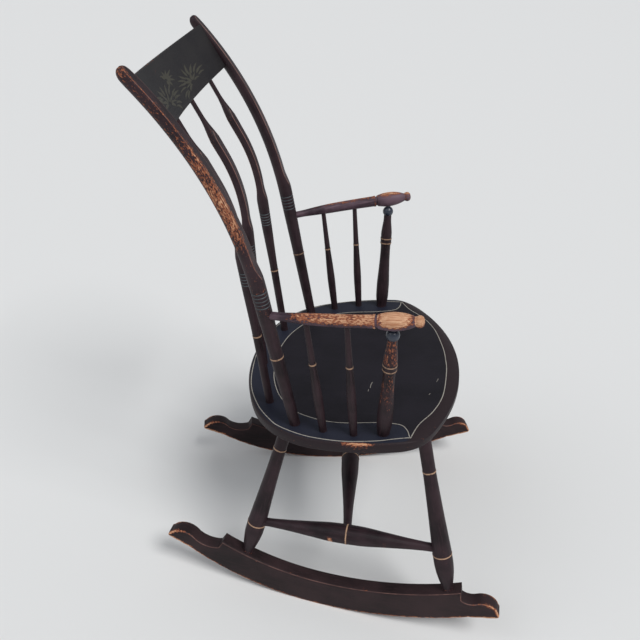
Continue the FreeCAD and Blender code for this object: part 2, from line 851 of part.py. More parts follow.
# Rockers
def rocker_nose(end, sign):
    """One end of the board from the top's step out to the rolling edge, with its bulges."""

    def size(name):
        return getattr(dim, "%s_%s" % (end, name))

    reach = size("step_reach")
    top = (reach, crown_height(reach, size("crown_curve")))
    foot = (reach + size("step_slope"), top[1] - size("step_drop"))
    dip = (foot[0] + size("dip_length"), foot[1] + size("dip_rise"))
    nose = (reach + size("nose_length"), dip[1] - size("nose_fall"))
    tip = (nose[0], nose[1] - size("tip_depth"))
    under = nose[0] - size("underside_run")
    rolling = (under, roll_height(under, size("roll_curve")))
    points = [(point[0] * sign, point[1]) for point in (top, foot, dip, nose, tip, rolling)]
    bulges = [None, size("dip_sag"), -size("nose_crown"), -size("tip_round"), None]
    return points, bulges


def arc_sag(first, last, curve):
    chord = math.hypot(number(last[0]) - number(first[0]), number(last[1]) - number(first[1]))
    return curve.value - math.sqrt(curve.value ** 2 - chord ** 2 / 4)


def make_rocker(side_name, side):
    body = new_body("rocker_" + side_name, rocker_placement(side))
    outline = Outline(body, "XZ_Plane", "rocker_outline_" + side_name)
    rear, rear_bulges = rocker_nose("rear", -1)
    front, front_bulges = rocker_nose("front", 1)
    floor = (0, 0)
    middle = (0, dim.rocker_depth)
    points = [floor] + front[::-1] + [middle] + rear
    outward = [arc_sag(floor, front[-1], dim.front_roll_curve)]
    outward += [None if bulge is None else -bulge for bulge in front_bulges[::-1]]
    outward.append(-arc_sag(front[0], middle, dim.front_crown_curve))
    outward.append(-arc_sag(middle, rear[0], dim.rear_crown_curve))
    outward += [None if bulge is None else -bulge for bulge in rear_bulges]
    outward.append(arc_sag(rear[-1], floor, dim.rear_roll_curve))
    bulges = {step: bulge for step, bulge in enumerate(outward) if bulge is not None}
    outline.path(points, bulges)
    extrude(body, "Pad", outline, dim.rocker_thickness)
    for row in LEGS:
        foot, top = leg_ends(row, side)
        name = "%s_leg_foot_socket_%s" % (row, side_name)
        sink(body, name, foot, top, dim.leg_foot_depth, dim.leg_foot_radius)


# Legs and stretchers
def make_leg(row, side_name, side):
    foot, top = leg_ends(row, side)
    label = "%s_leg_%s" % (row, side_name)
    body = new_body(label, along(foot, top))
    length = dim.add("%s_leg_%s_length" % (row, side_name), (top - foot).Length)
    swell = length * dim.leg_swell_share
    upper = length * LEGS[row]["ring_share"]
    stations = [(-dim.leg_foot_depth, dim.leg_foot_radius)]
    stations.append((dim.leg_foot_radius, dim.leg_foot_radius, dim.leg_foot_bulge))
    stations += ring(swell, dim.leg_swell_radius)
    stations += ring(upper, dim.leg_top_radius)
    stations.append((length + dim.leg_top_depth, dim.leg_top_radius))
    turn(body, label + "_outline", stations)
    joint = stretcher_joint(row, side)
    other = stretcher_joint("front" if row == "rear" else "rear", side)
    stretcher_bore(body, label + "_stretcher_socket", joint, other)


def stretcher_bore(body, name, joint, other):
    inward = (other - joint).normalize()
    outside = joint + inward * (2 * dim.leg_swell_radius.value)
    bore(body, name, outside, joint + inward * dim.stretcher_end_stop.value, dim.stretcher_end_radius)


def make_stretcher(label, start, end):
    """From one member's centre line to another's, stopping just short of both."""
    body = new_body(label, along(start, end))
    length = dim.add(label + "_length", (end - start).Length)
    middle = length / 2
    end_radius = dim.stretcher_end_radius
    stations = [(dim.stretcher_end_stop, end_radius), (dim.stretcher_collar, end_radius, 1.5)]
    stations += ring(middle, dim.stretcher_swell_radius)
    stations[-1] += (1.5,)
    stations.append((length - dim.stretcher_collar, end_radius))
    stations.append((length - dim.stretcher_end_stop, end_radius))
    turn(body, label + "_outline", stations)
    return body


def make_stretchers():
    for side_name, side in SIDES.items():
        label = "side_stretcher_" + side_name
        joints = (stretcher_joint("rear", side), stretcher_joint("front", side))
        body = make_stretcher(label, *joints)
        stretcher_bore(body, label + "_socket", stretcher_middle(side), stretcher_middle(-side))
    make_stretcher("medial_stretcher", stretcher_middle(-1), stretcher_middle(1))


# Back posts
def make_post(side_name, side):
    label = "back_post_" + side_name
    body = new_body(label, post_frame(side))
    straight = dim.post_straight
    stations = [(-dim.post_depth, dim.post_foot_radius)]
    stations.append((dim.post_foot_radius, dim.post_foot_radius, dim.post_foot_bulge))
    stations += ring(dim.post_ring_height, dim.post_ring_radius)
    stations += scores(dim.post_scored_height, dim.post_scored_radius, dim.post_score_pitch)
    stations.append((straight, dim.post_scored_radius))
    turn(body, label + "_outline", stations)
    curve = dim.post_bend_curve
    angle = dim.post_bend_angle
    sections = [
        (0, dim.post_scored_radius),
        (angle / 2, dim.post_bent_radius),
        (angle, dim.post_top_radius),
    ]
    bend(body, label, straight, curve, sections)
    dome = [(0, dim.post_top_radius, dim.post_top_bulge), (dim.post_top_dome, dim.post_tip_radius)]
    turn(body, label + "_dome", dome, bend_end(straight, curve, angle))
    shave(
        body, label + "_flat", straight, curve, angle, 2 * dim.post_top_dome.value,
        dim.post_flat_offset, dim.post_flat_start, dim.post_scored_radius, on_front=True,
    )
    outside = arm_place(side, math.radians(arm_bend_angle.value) * arm_curve.value).Base
    bore(body, label + "_arm_socket", outside, arm_tail_end(side), dim.arm_tail_radius)
    slot = body.newObject("PartDesign::SubtractiveBox", label + "_crest_slot")
    clearance = dim.crest_clearance
    bind(slot, "Length", 2 * dim.post_bent_radius)
    bind(slot, "Width", dim.crest_thickness + 2 * clearance)
    bind(slot, "Height", dim.crest_width + 2 * clearance)
    slot.Placement = body.Placement.inverse() * crest_slot(side)


def arm_tail_end(side):
    """The end of the arm's tail, let into the post from in front."""
    tail = arm_place(side, math.radians(arm_bend_angle.value) * arm_curve.value)
    reach = dim.arm_tail_straight.value - dim.post_scored_radius.value + dim.arm_tail_let_in.value
    return tail.multVec(Vector(0, 0, reach))


def crest_slot(side):
    """The slot's corner frame: it runs in from the crest's end, square to its curved faces."""
    clearance = dim.crest_clearance.value
    turned = crest_end_angle * side
    reach = crest_curve.value
    end = Vector(side * reach * math.sin(math.radians(crest_end_angle)), -dim.crest_hollow.value, 0)
    place = crest_frame() * Placement(end, Rotation(UP, -turned))
    inner = clearance - 2 * dim.post_bent_radius.value if side > 0 else -clearance
    return place * Placement(Vector(inner, -clearance, -clearance), Rotation())


# Crest
def make_crest():
    body = new_body("crest", crest_frame())
    outline = Outline(body, "XY_Plane", "crest_outline")
    hollow = dim.crest_hollow
    share = (crest_curve + dim.crest_thickness) / crest_curve
    front_end = (crest_half, -hollow)
    back_end = (crest_half * share, (crest_curve - hollow) * share - crest_curve)
    points = [(-front_end[0], front_end[1]), front_end, back_end, (-back_end[0], back_end[1])]
    outline.path(points, {0: -hollow, 2: hollow * share})
    tablet = body.newObject("PartDesign::Pad", "crest_tablet")
    tablet.Profile = outline.sketch
    bind(tablet, "Length", dim.crest_width)
    round_edges(body, tablet, "z", [0, dim.crest_width.value], dim.crest_edge_round)
    for name, path in SPINDLE_PATHS.items():
        outside = path.neck - path.upward * (2 * dim.spindle_neck_radius.value)
        inner = path.neck + path.upward * dim.spindle_neck_depth.value
        bore(body, "neck_socket_" + name, outside, inner, dim.spindle_neck_radius)


# Back spindles
def make_spindle(name, path):
    label = "back_spindle_" + name
    body = new_body(label, path.frame)
    straight = path.straight
    foot = dim.spindle_foot_radius
    stations = [(-dim.spindle_depth, foot), (foot, foot, 0.4)]
    stations += ring(straight * dim.spindle_ring_share, dim.spindle_ring_radius)
    scored = straight * dim.spindle_scored_share
    stations += scores(scored, dim.spindle_scored_radius, dim.spindle_score_pitch)
    stations.append((straight, dim.spindle_bend_radius))
    turn(body, label + "_outline", stations)
    curve = dim.spindle_bend_curve
    middle = (dim.spindle_bend_radius + dim.spindle_shoulder_radius) / 2
    sections = [
        (0, dim.spindle_bend_radius),
        (path.angle / 2, (dim.spindle_bend_radius + middle) / 2),
        (path.angle, middle),
    ]
    bend(body, label, straight, curve, sections)
    neck = dim.spindle_neck_radius
    shoulder = path.upper - dim.spindle_shoulder_from_crest
    blade = [
        (0, middle),
        (shoulder, dim.spindle_shoulder_radius),
        (shoulder + dim.spindle_arrow_run, dim.spindle_arrow_radius),
        (path.upper - dim.spindle_neck_from_crest, neck),
        (path.upper + dim.spindle_neck_depth, neck),
    ]
    turn(body, label + "_blade", blade, bend_end(straight, curve, path.angle))
    after = path.upper.value - dim.spindle_neck_from_crest.value
    for flat_name, on_front in (("front", True), ("back", False)):
        shave(
            body, "%s_%s_flat" % (label, flat_name), straight, curve, path.angle, after,
            dim.spindle_flat_offset, 0, dim.spindle_shoulder_radius, on_front,
        )


# Arms and what stands under them
def make_arm(side_name, side):
    label = "arm_" + side_name
    body = new_body(label, arm_frame(side))
    band = dim.arm_band_width
    urn_back = -2 * band
    neck = urn_back - dim.urn_length
    tip = neck - dim.button_length
    button_bulge = dim.button_radius.value - (dim.button_tip_radius.value + dim.urn_neck_radius.value) / 2
    stations = [
        (tip, dim.button_tip_radius, button_bulge),
        (neck, dim.urn_neck_radius, -dim.urn_bulge),
        (-dim.urn_shoulder_from_band, dim.urn_shoulder_radius, dim.urn_bulge),
        (-dim.urn_widest_from_band, dim.urn_radius, dim.urn_bulge),
        (urn_back, dim.urn_back_radius),
        (urn_back, dim.arm_groove_radius),
        (-band, dim.arm_groove_radius),
        (-band, dim.arm_band_radius),
        (0, dim.arm_band_radius),
    ]
    turn(body, label + "_urn", stations)
    sections = [
        (0, dim.arm_front_radius),
        (arm_bend_angle * dim.arm_middle_share, dim.arm_middle_radius),
        (arm_bend_angle, dim.arm_tail_radius),
    ]
    bend(body, label, 0, arm_curve, sections)
    tail = [
        (0, dim.arm_tail_radius),
        (dim.arm_tail_straight - dim.post_scored_radius + dim.arm_tail_let_in, dim.arm_tail_radius),
    ]
    turn(body, label + "_tail", tail, bend_end(0, arm_curve, arm_bend_angle))
    for row in ARM_SPINDLES:
        foot, top = arm_spindle_ends(row, side)
        start = top - (top - foot).normalize() * (2 * dim.arm_front_radius.value)
        bore(body, "%s_%s_socket" % (label, row), start, top, dim.arm_spindle_top_radius)
    foot, top = arm_post_ends(side)
    start = top - (top - foot).normalize() * (2 * dim.urn_radius.value)
    bore(body, label + "_post_socket", start, top, dim.arm_post_tenon_radius)


def arm_post_ends(side):
    """The foot on the seat, and the tenon's top inside the urn."""
    foot = seat_point(side, dim.arm_post_out, -dim.arm_post_forward)
    urn = arm_urn_point(side)
    depth = dim.urn_radius.value - dim.arm_post_tenon_depth.value
    return foot, urn - (urn - foot).normalize() * depth


def make_arm_post(side_name, side):
    label = "arm_post_" + side_name
    foot, top = arm_post_ends(side)
    body = new_body(label, along(foot, top))
    upward = (top - foot).normalize()
    slant = math.sqrt(1 - upward.dot(to_side(arm_direction(), side)) ** 2)
    clear = dim.urn_radius.value + dim.arm_post_ball_gap.value + dim.arm_post_ball_radius.value
    ball_height = (arm_urn_point(side) - foot).Length - clear / slant
    ball = dim.add(label + "_ball_height", ball_height)
    length = dim.add(label + "_length", (top - foot).Length)
    radius = dim.arm_post_ball_radius
    lower = ball - radical(radius * radius - dim.arm_post_neck_radius * dim.arm_post_neck_radius)
    upper = ball + radical(radius * radius - dim.arm_post_tenon_radius * dim.arm_post_tenon_radius)
    rise = upper - lower
    lean = dim.arm_post_neck_radius - dim.arm_post_tenon_radius
    chord = radical(rise * rise + lean * lean)
    foot_radius = dim.arm_post_foot_radius
    stations = [
        (-dim.arm_post_depth, foot_radius),
        (dim.ring_width, foot_radius),
        (ball * dim.arm_post_swell_share, dim.arm_post_swell_radius, dim.arm_post_bulge),
        (ball * dim.arm_post_taper_share, dim.arm_post_taper_radius),
        (ball * dim.arm_post_waist_share, dim.arm_post_waist_radius),
    ]
    stations += ring(ball * dim.arm_post_lower_ring_share, dim.arm_post_ring_radius)
    stations += ring(ball * dim.arm_post_upper_ring_share, dim.arm_post_ring_radius)
    stations += [
        (ball * dim.arm_post_shoulder_share, dim.arm_post_ring_radius),
        (ball * dim.arm_post_neck_share, dim.arm_post_neck_radius),
        (lower, dim.arm_post_neck_radius, full_bulge(radius, chord)),
        (upper, dim.arm_post_tenon_radius),
        (length, dim.arm_post_tenon_radius),
    ]
    turn(body, label + "_outline", stations)


def full_bulge(radius, chord):
    """How far an arc of this radius stands out from its chord."""
    return radius.value - math.sqrt(radius.value ** 2 - chord.value ** 2 / 4)


def make_arm_spindle(row, side_name, side):
    label = "arm_spindle_%s_%s" % (row, side_name)
    foot, top = arm_spindle_ends(row, side)
    body = new_body(label, along(foot, top))
    length = dim.add(label + "_length", (top - foot).Length)
    end = dim.arm_spindle_foot_radius
    stations = [
        (-dim.arm_spindle_depth, end),
        (dim.ring_width, end),
        (length * dim.arm_spindle_swell_share, dim.arm_spindle_swell_radius),
    ]
    stations += ring(length * dim.arm_spindle_ring_share, dim.arm_spindle_ring_radius)
    stations.append((length - 4 * dim.arm_spindle_let_in, dim.arm_spindle_top_radius))
    stations.append((length, dim.arm_spindle_top_radius))
    turn(body, label + "_outline", stations)


SPINDLE_PATHS = {name: SpindlePath(name) for name in SPINDLES}

make_seat()
make_crest()
for spindle_name, spindle_path in SPINDLE_PATHS.items():
    make_spindle(spindle_name, spindle_path)
make_stretchers()
for side_label, side_sign in SIDES.items():
    make_rocker(side_label, side_sign)
    make_post(side_label, side_sign)
    make_arm(side_label, side_sign)
    make_arm_post(side_label, side_sign)
    for row_name in LEGS:
        make_leg(row_name, side_label, side_sign)
    for row_name in ARM_SPINDLES:
        make_arm_spindle(row_name, side_label, side_sign)
doc.recompute()

# Every object has to be sound, and every piece one valid solid, before anything is written
for item in doc.Objects:
    if "Invalid" in item.State or "Error" in item.State:
        raise RuntimeError("%s is not sound: %s" % (item.Name, item.State))
pieces = [item for item in doc.Objects if item.TypeId == "PartDesign::Body"]
for piece in pieces:
    if piece.Shape.isNull() or not piece.Shape.isValid() or len(piece.Shape.Solids) != 1:
        raise RuntimeError("%s is not one valid solid" % piece.Label)

os.makedirs("parts", exist_ok=True)
for piece in pieces:
    piece.Shape.exportStep(os.path.join("parts", piece.Label + ".step"))
    print(piece.Label, round(piece.Shape.Volume / 1000, 1), "cubic centimetres")
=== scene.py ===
import math
import random
from collections import namedtuple

import bmesh
import bpy
from mathutils import Matrix, Vector


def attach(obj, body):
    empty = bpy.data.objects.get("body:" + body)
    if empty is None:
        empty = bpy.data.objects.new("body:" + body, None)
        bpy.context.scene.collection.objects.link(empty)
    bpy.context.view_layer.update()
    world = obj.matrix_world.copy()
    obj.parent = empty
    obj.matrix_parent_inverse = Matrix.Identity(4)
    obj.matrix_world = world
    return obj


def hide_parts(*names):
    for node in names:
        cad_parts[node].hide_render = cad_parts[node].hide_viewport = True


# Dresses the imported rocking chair: turned and bent members, painted and worn
# Lengths of the chair are millimetres, and become metres when a mesh is made
# +Z is up, the sitter faces -Y, and the sitter's right hand, which the camera sees first, is at -X

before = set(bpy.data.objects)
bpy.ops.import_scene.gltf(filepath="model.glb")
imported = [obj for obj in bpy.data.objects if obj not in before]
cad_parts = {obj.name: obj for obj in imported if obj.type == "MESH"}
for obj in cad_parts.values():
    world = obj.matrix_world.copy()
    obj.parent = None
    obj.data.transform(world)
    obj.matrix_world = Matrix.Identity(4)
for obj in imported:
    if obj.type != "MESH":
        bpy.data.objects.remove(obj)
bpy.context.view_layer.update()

MM = 0.001
UP = Vector((0, 0, 1))
SIDES = {"right": -1, "left": 1}
random.seed(7)

# Seat
SEAT_HEIGHT = 432.5
SEAT_SLOPE = 9.35
SEAT_THICKNESS = 36.0
SEAT_BEVEL = (32.0, 16.0)
SEAT_ROUND = 6.0
SEAT_ROLL_RUN = 24.0
SEAT_ROLL_REACH = 30.0
SEAT_ROLL_DEPTH = 12.5
SEAT_ROLL_SAG = 9.6
SEAT_HALF_WIDTH = 256.0
SEAT_WIDEST = -66.0
SEAT_FRONT = -230.0
SEAT_BACK = 185.0
SEAT_CURVES = {"front": 400.0, "front_corner": 80.0, "side": 440.0, "back_corner": 170.0, "back": 380.0}

# Rockers
ROCKER_OUT = 221.2
ROCKER_TOE = 9.3
ROCKER_THICKNESS = 28.0
ROCKER_DEPTH = 64.0
ROCKER_ROUND = 2.4

# Legs and stretchers
LEG_TOPS = {"rear": (165.0, 98.0), "front": (200.0, -152.0)}
LEG_REACH = {"rear": -145.0, "front": 252.0}
STRETCHER_SHARE = {"rear": 0.26, "front": 0.28}
LEG_DEPTH = 24.0
LEG_LOWER_RING = 0.25
LEG_UPPER_RING = {"rear": 0.85, "front": 0.8}

# Back
POST_FOOT = (196.0, 76.0)
POST_LEAN = (16.2, 3.1)
POST_STRAIGHT = 280.0
POST_CURVE = 678.0
POST_ANGLE = 31.2
POST_RING = 148.0
POST_SCORES = (263.5, 6.5)
POST_SHAVED = (280.0, 330.0)
POST_BENT_RADIUS = 12.8
POST_DOME = 16.0
POST_DOME_TIP = 4.5
POST_DOME_SPREAD = 6.7
POST_DOME_TURN = math.radians(66)
SPINDLE_SPACING = 130.0
SPINDLES = {"right": (-1, 129.5), "centre": (0, 157.0), "left": (1, 129.5)}
SPINDLE_LEAN = 33.5
SPINDLE_CORNER = 163.0
SPINDLE_CURVE = 290.0
SPINDLE_RING = 0.44
SPINDLE_SCORES = (0.79, 5.6)
SPINDLE_SHAVED = (0.86, 46.0)
SPINDLE_SHOULDER = 72.0
CREST_ON_POST = 559.0
CREST_SETBACK = 4.0
CREST_HEIGHT = 87.0
CREST_THICKNESS = 10.5
CREST_LEAN = 36.0
CREST_HOLLOW = 20.0
CREST_EDGE = 2.4
CREST_HOUSED = 7.0

# Arms
ARM_BAND = Vector((251.6, -30.7, 679.4))
ARM_TURN = 8.65
ARM_RISE = 12.24
ARM_ON_POST = 232.0
ARM_TAIL = 26.0
URN_MIDDLE = 32.0
URN_RADIUS = 14.7
URN_START = -6.4
BAND_START = -3.2
BUTTON_NECK = -65.0
BALL_RADIUS = 11.0
BALL_GAP = 0.3
ARM_POST_FOOT = (226.1, -80.3)
ARM_SPINDLES = {"rear": (217.0, 24.5, 110.0), "front": (228.6, -29.0, 42.0)}

# The side away from the camera is worn less
FAR_WEAR = {"post": 0.55, "arm": 0.76, "arm_post": 0.7}

# Camera, matched to the photograph, in metres
CAMERA_AT = Vector((-1.2253, 0.0439, 1.2470))
CAMERA_RIGHT = Vector((0.0645, -0.9932, 0.0968))
CAMERA_UP = Vector((0.5051, 0.1162, 0.8552))
CAMERA_LENS = 41.34


# Places and directions
def turn_x(degrees):
    return Matrix.Rotation(math.radians(degrees), 4, "X")


def move(x, y, z):
    return Matrix.Translation((x, y, z))


def along(start, end):
    turn = UP.rotation_difference((end - start).normalized())
    return Matrix.Translation(start) @ turn.to_matrix().to_4x4()


def axes_at(origin, x, y, z):
    return Matrix.Translation(origin) @ Matrix((x, y, z)).transposed().to_4x4()


def facing(origin, ahead, aside):
    """A frame whose Z runs ahead and whose Y is turned towards aside."""
    ahead = ahead.normalized()
    across = aside.cross(ahead).normalized()
    return axes_at(origin, across, ahead.cross(across), ahead)


def to_side(point, side):
    return Vector((point.x * side, point.y, point.z))


SEAT = move(0, 0, SEAT_HEIGHT) @ turn_x(-SEAT_SLOPE)


def seat_point(side, out, back, below=0.0):
    return SEAT @ Vector((side * out, back, -below))


def bend_frame(straight, curve, angle):
    """The frame at an angle, in degrees, of a bend towards +Y that starts after a straight."""
    turned = math.radians(angle)
    rise = straight + curve * math.sin(turned)
    return move(0, curve * (1 - math.cos(turned)), rise) @ turn_x(-angle)


class Path:
    """A centre line: straight, then bent towards its own +Y, then straight again."""

    def __init__(self, start, straight=0.0, curve=0.0, angle=0.0):
        self.start = start
        self.straight = straight
        self.curve = curve
        self.angle = angle
        self.arc = math.radians(angle) * curve

    def at(self, distance):
        if self.curve == 0 or distance <= self.straight:
            return self.start @ move(0, 0, distance)
        beyond = distance - self.straight
        if beyond <= self.arc:
            return self.start @ bend_frame(self.straight, self.curve, math.degrees(beyond / self.curve))
        end = self.start @ bend_frame(self.straight, self.curve, self.angle)
        return end @ move(0, 0, beyond - self.arc)


def post_path(side):
    lean = Matrix.Rotation(math.radians(side * POST_LEAN[1]), 4, "Y") @ turn_x(-POST_LEAN[0])
    start = Matrix.Translation(seat_point(side, *POST_FOOT)) @ lean
    return Path(start, POST_STRAIGHT, POST_CURVE, POST_ANGLE)


def arm_path(side):
    """From the band back to the post; Z runs back, and Y is the way that the arm bends."""
    turned = math.radians(ARM_TURN)
    rise = math.radians(ARM_RISE)
    level = math.cos(rise)
    back = -Vector((level * math.sin(turned), -level * math.cos(turned), math.sin(rise)))
    tail = post_path(1).at(ARM_ON_POST).to_translation() - ARM_BAND
    aside = tail - back * back.dot(tail)
    reach = back.dot(tail)
    curve = (reach ** 2 + aside.length ** 2) / (2 * aside.length)
    angle = math.degrees(2 * math.atan2(aside.length, reach) - ARM_TAIL / curve)
    start = facing(to_side(ARM_BAND, side), to_side(back, side), to_side(aside, side))
    return Path(start, 0.0, curve, angle)


def rocker_frame(side):
    toe = math.radians(ROCKER_TOE)
    forward = Vector((side * math.sin(toe), -math.cos(toe), 0))
    return axes_at((side * ROCKER_OUT, 0, 0), forward, UP.cross(forward), UP)


ROCKER_ENDS = {
    -1: {
        "roll": 540.0, "crown": 480.0, "step": (195.0, 17.0, 8.0), "dip": (47.0, 6.0, 6.0),
        "nose": (111.0, 0.0, 14.0), "tip": (9.0, 4.0), "under": 41.0,
    },
    1: {
        "roll": 680.0, "crown": 600.0, "step": (276.0, 21.0, 5.0), "dip": (28.0, 1.0, 4.2),
        "nose": (77.0, 14.0, 11.0), "tip": (11.0, 3.0), "under": 52.0,
    },
}


def crown_height(reach):
    curve = ROCKER_ENDS[1 if reach > 0 else -1]["crown"]
    return ROCKER_DEPTH + curve - math.sqrt(curve ** 2 - reach ** 2)


def leg_ends(row, side):
    reach = LEG_REACH[row]
    foot = rocker_frame(side) @ Vector((reach, 0, crown_height(reach)))
    out, back = LEG_TOPS[row]
    return foot, seat_point(side, out, back, SEAT_THICKNESS)


def stretcher_joint(row, side):
    foot, top = leg_ends(row, side)
    return foot.lerp(top, STRETCHER_SHARE[row])


def stretcher_middle(side):
    return stretcher_joint("rear", side).lerp(stretcher_joint("front", side), 0.5)


POST_AT_CREST = post_path(1).at(CREST_ON_POST + CREST_HEIGHT / 2).to_translation().x
CREST_HALF = POST_AT_CREST - POST_BENT_RADIUS + CREST_HOUSED
CREST_CURVE = (CREST_HALF ** 2 + CREST_HOLLOW ** 2) / (2 * CREST_HOLLOW)


def crest_frame():
    end = post_path(1).at(CREST_ON_POST) @ Vector((0, CREST_SETBACK, 0))
    leaning = turn_x(-CREST_LEAN)
    middle = Vector((0, end.y, end.z)) + leaning @ Vector((0, CREST_HOLLOW, 0))
    return Matrix.Translation(middle) @ leaning


CREST = crest_frame()


def crest_point(x, up, behind):
    """A point at x, up the crest and behind its front face."""
    return CREST @ Vector((x, math.sqrt((CREST_CURVE + behind) ** 2 - x ** 2) - CREST_CURVE, up))


def spindle_path(name):
    column, back = SPINDLES[name]
    foot = seat_point(column, SPINDLE_SPACING, back)
    neck = crest_point(column * SPINDLE_SPACING, 0, CREST_THICKNESS / 2)
    upward = turn_x(-SPINDLE_LEAN) @ UP
    lower = neck - upward * SPINDLE_CORNER - foot
    turned = SPINDLE_LEAN - math.degrees(math.atan2(lower.y, lower.z))
    cut = SPINDLE_CURVE * math.tan(math.radians(turned) / 2)
    path = Path(facing(foot, lower, Vector((0, 1, 0))), lower.length - cut, SPINDLE_CURVE, turned)
    path.length = path.straight + path.arc + SPINDLE_CORNER - cut
    return path


# Materials
def link(tree, source, target):
    tree.links.new(source, target)


class Nodes:
    """A short way to write a node tree: each call adds one node and returns its output."""

    def __init__(self, material):
        material.use_nodes = True
        self.tree = material.node_tree
        self.tree.nodes.clear()
        self.output = self.tree.nodes.new("ShaderNodeOutputMaterial")

    def add(self, kind, inputs=None, output=0, **settings):
        node = self.tree.nodes.new(kind)
        for name, value in settings.items():
            setattr(node, name, value)
        for name, value in (inputs or {}).items():
            self.feed(node.inputs[name], value)
        return node.outputs[output]

    def feed(self, socket, value):
        """Links another node's output to a socket, or sets a plain value on it."""
        if isinstance(value, bpy.types.NodeSocket):
            link(self.tree, value, socket)
        else:
            socket.default_value = value

    def value(self, name):
        return self.add("ShaderNodeAttribute", output="Fac", attribute_name=name)

    def place(self):
        return self.add("ShaderNodeAttribute", output="Vector", attribute_name="straight")

    def noise(self, scale, detail=4.0, stretch=(1, 1, 1), rough=0.55):
        """Noise over the member's straightened shape, in cycles a metre."""
        spread = self.add("ShaderNodeMapping", {"Vector": self.place(), "Scale": stretch})
        inputs = {"Vector": spread, "Scale": scale, "Detail": detail, "Roughness": rough}
        return self.add("ShaderNodeTexNoise", inputs, output="Fac")

    def math(self, operation, first, second=0.0, third=0.0):
        node = self.tree.nodes.new("ShaderNodeMath")
        node.operation = operation
        for socket, value in zip(node.inputs, (first, second, third)):
            self.feed(socket, value)
        return node.outputs[0]

    def ramp(self, value, low, high, start=0.0, end=1.0):
        inputs = {"Value": value, "From Min": low, "From Max": high, "To Min": start, "To Max": end}
        return self.add("ShaderNodeMapRange", inputs, output="Result", interpolation_type="SMOOTHSTEP")

    def mix(self, amount, first, second):
        node = self.tree.nodes.new("ShaderNodeMix")
        node.data_type = "RGBA"
        sockets = [socket for socket in node.inputs if socket.enabled]
        for socket, value in zip(sockets, (amount, first, second)):
            self.feed(socket, value)
        return [socket for socket in node.outputs if socket.enabled][0]


def colour(red, green, blue):
    """A linear colour from the 0 to 255 values that a picture shows."""
    linear = []
    for part in (red, green, blue):
        part /= 255
        linear.append(part / 12.92 if part <= 0.04045 else ((part + 0.055) / 1.055) ** 2.4)
    return (*linear, 1.0)


GOLD_LINE = colour(176, 142, 116)
# Pale line along edges and ridges: partly edge wear and partly a painted highlight
RIDGE_WEAR_AND_HIGHLIGHT = colour(150, 110, 100)
STRIPE_LINE = colour(168, 162, 152)
LEAF_LINE = colour(68, 66, 56)
DUST = colour(98, 110, 114)
COPPER = colour(156, 92, 62)
DEEP_COPPER = colour(104, 58, 44)
THIN_PAINT = colour(70, 44, 42)
PALE_WOOD = colour(216, 174, 140)
DEEP_WOOD = colour(170, 116, 84)
COOL_PAINT = colour(36, 39, 52)
WARM_PAINT = colour(40, 30, 33)


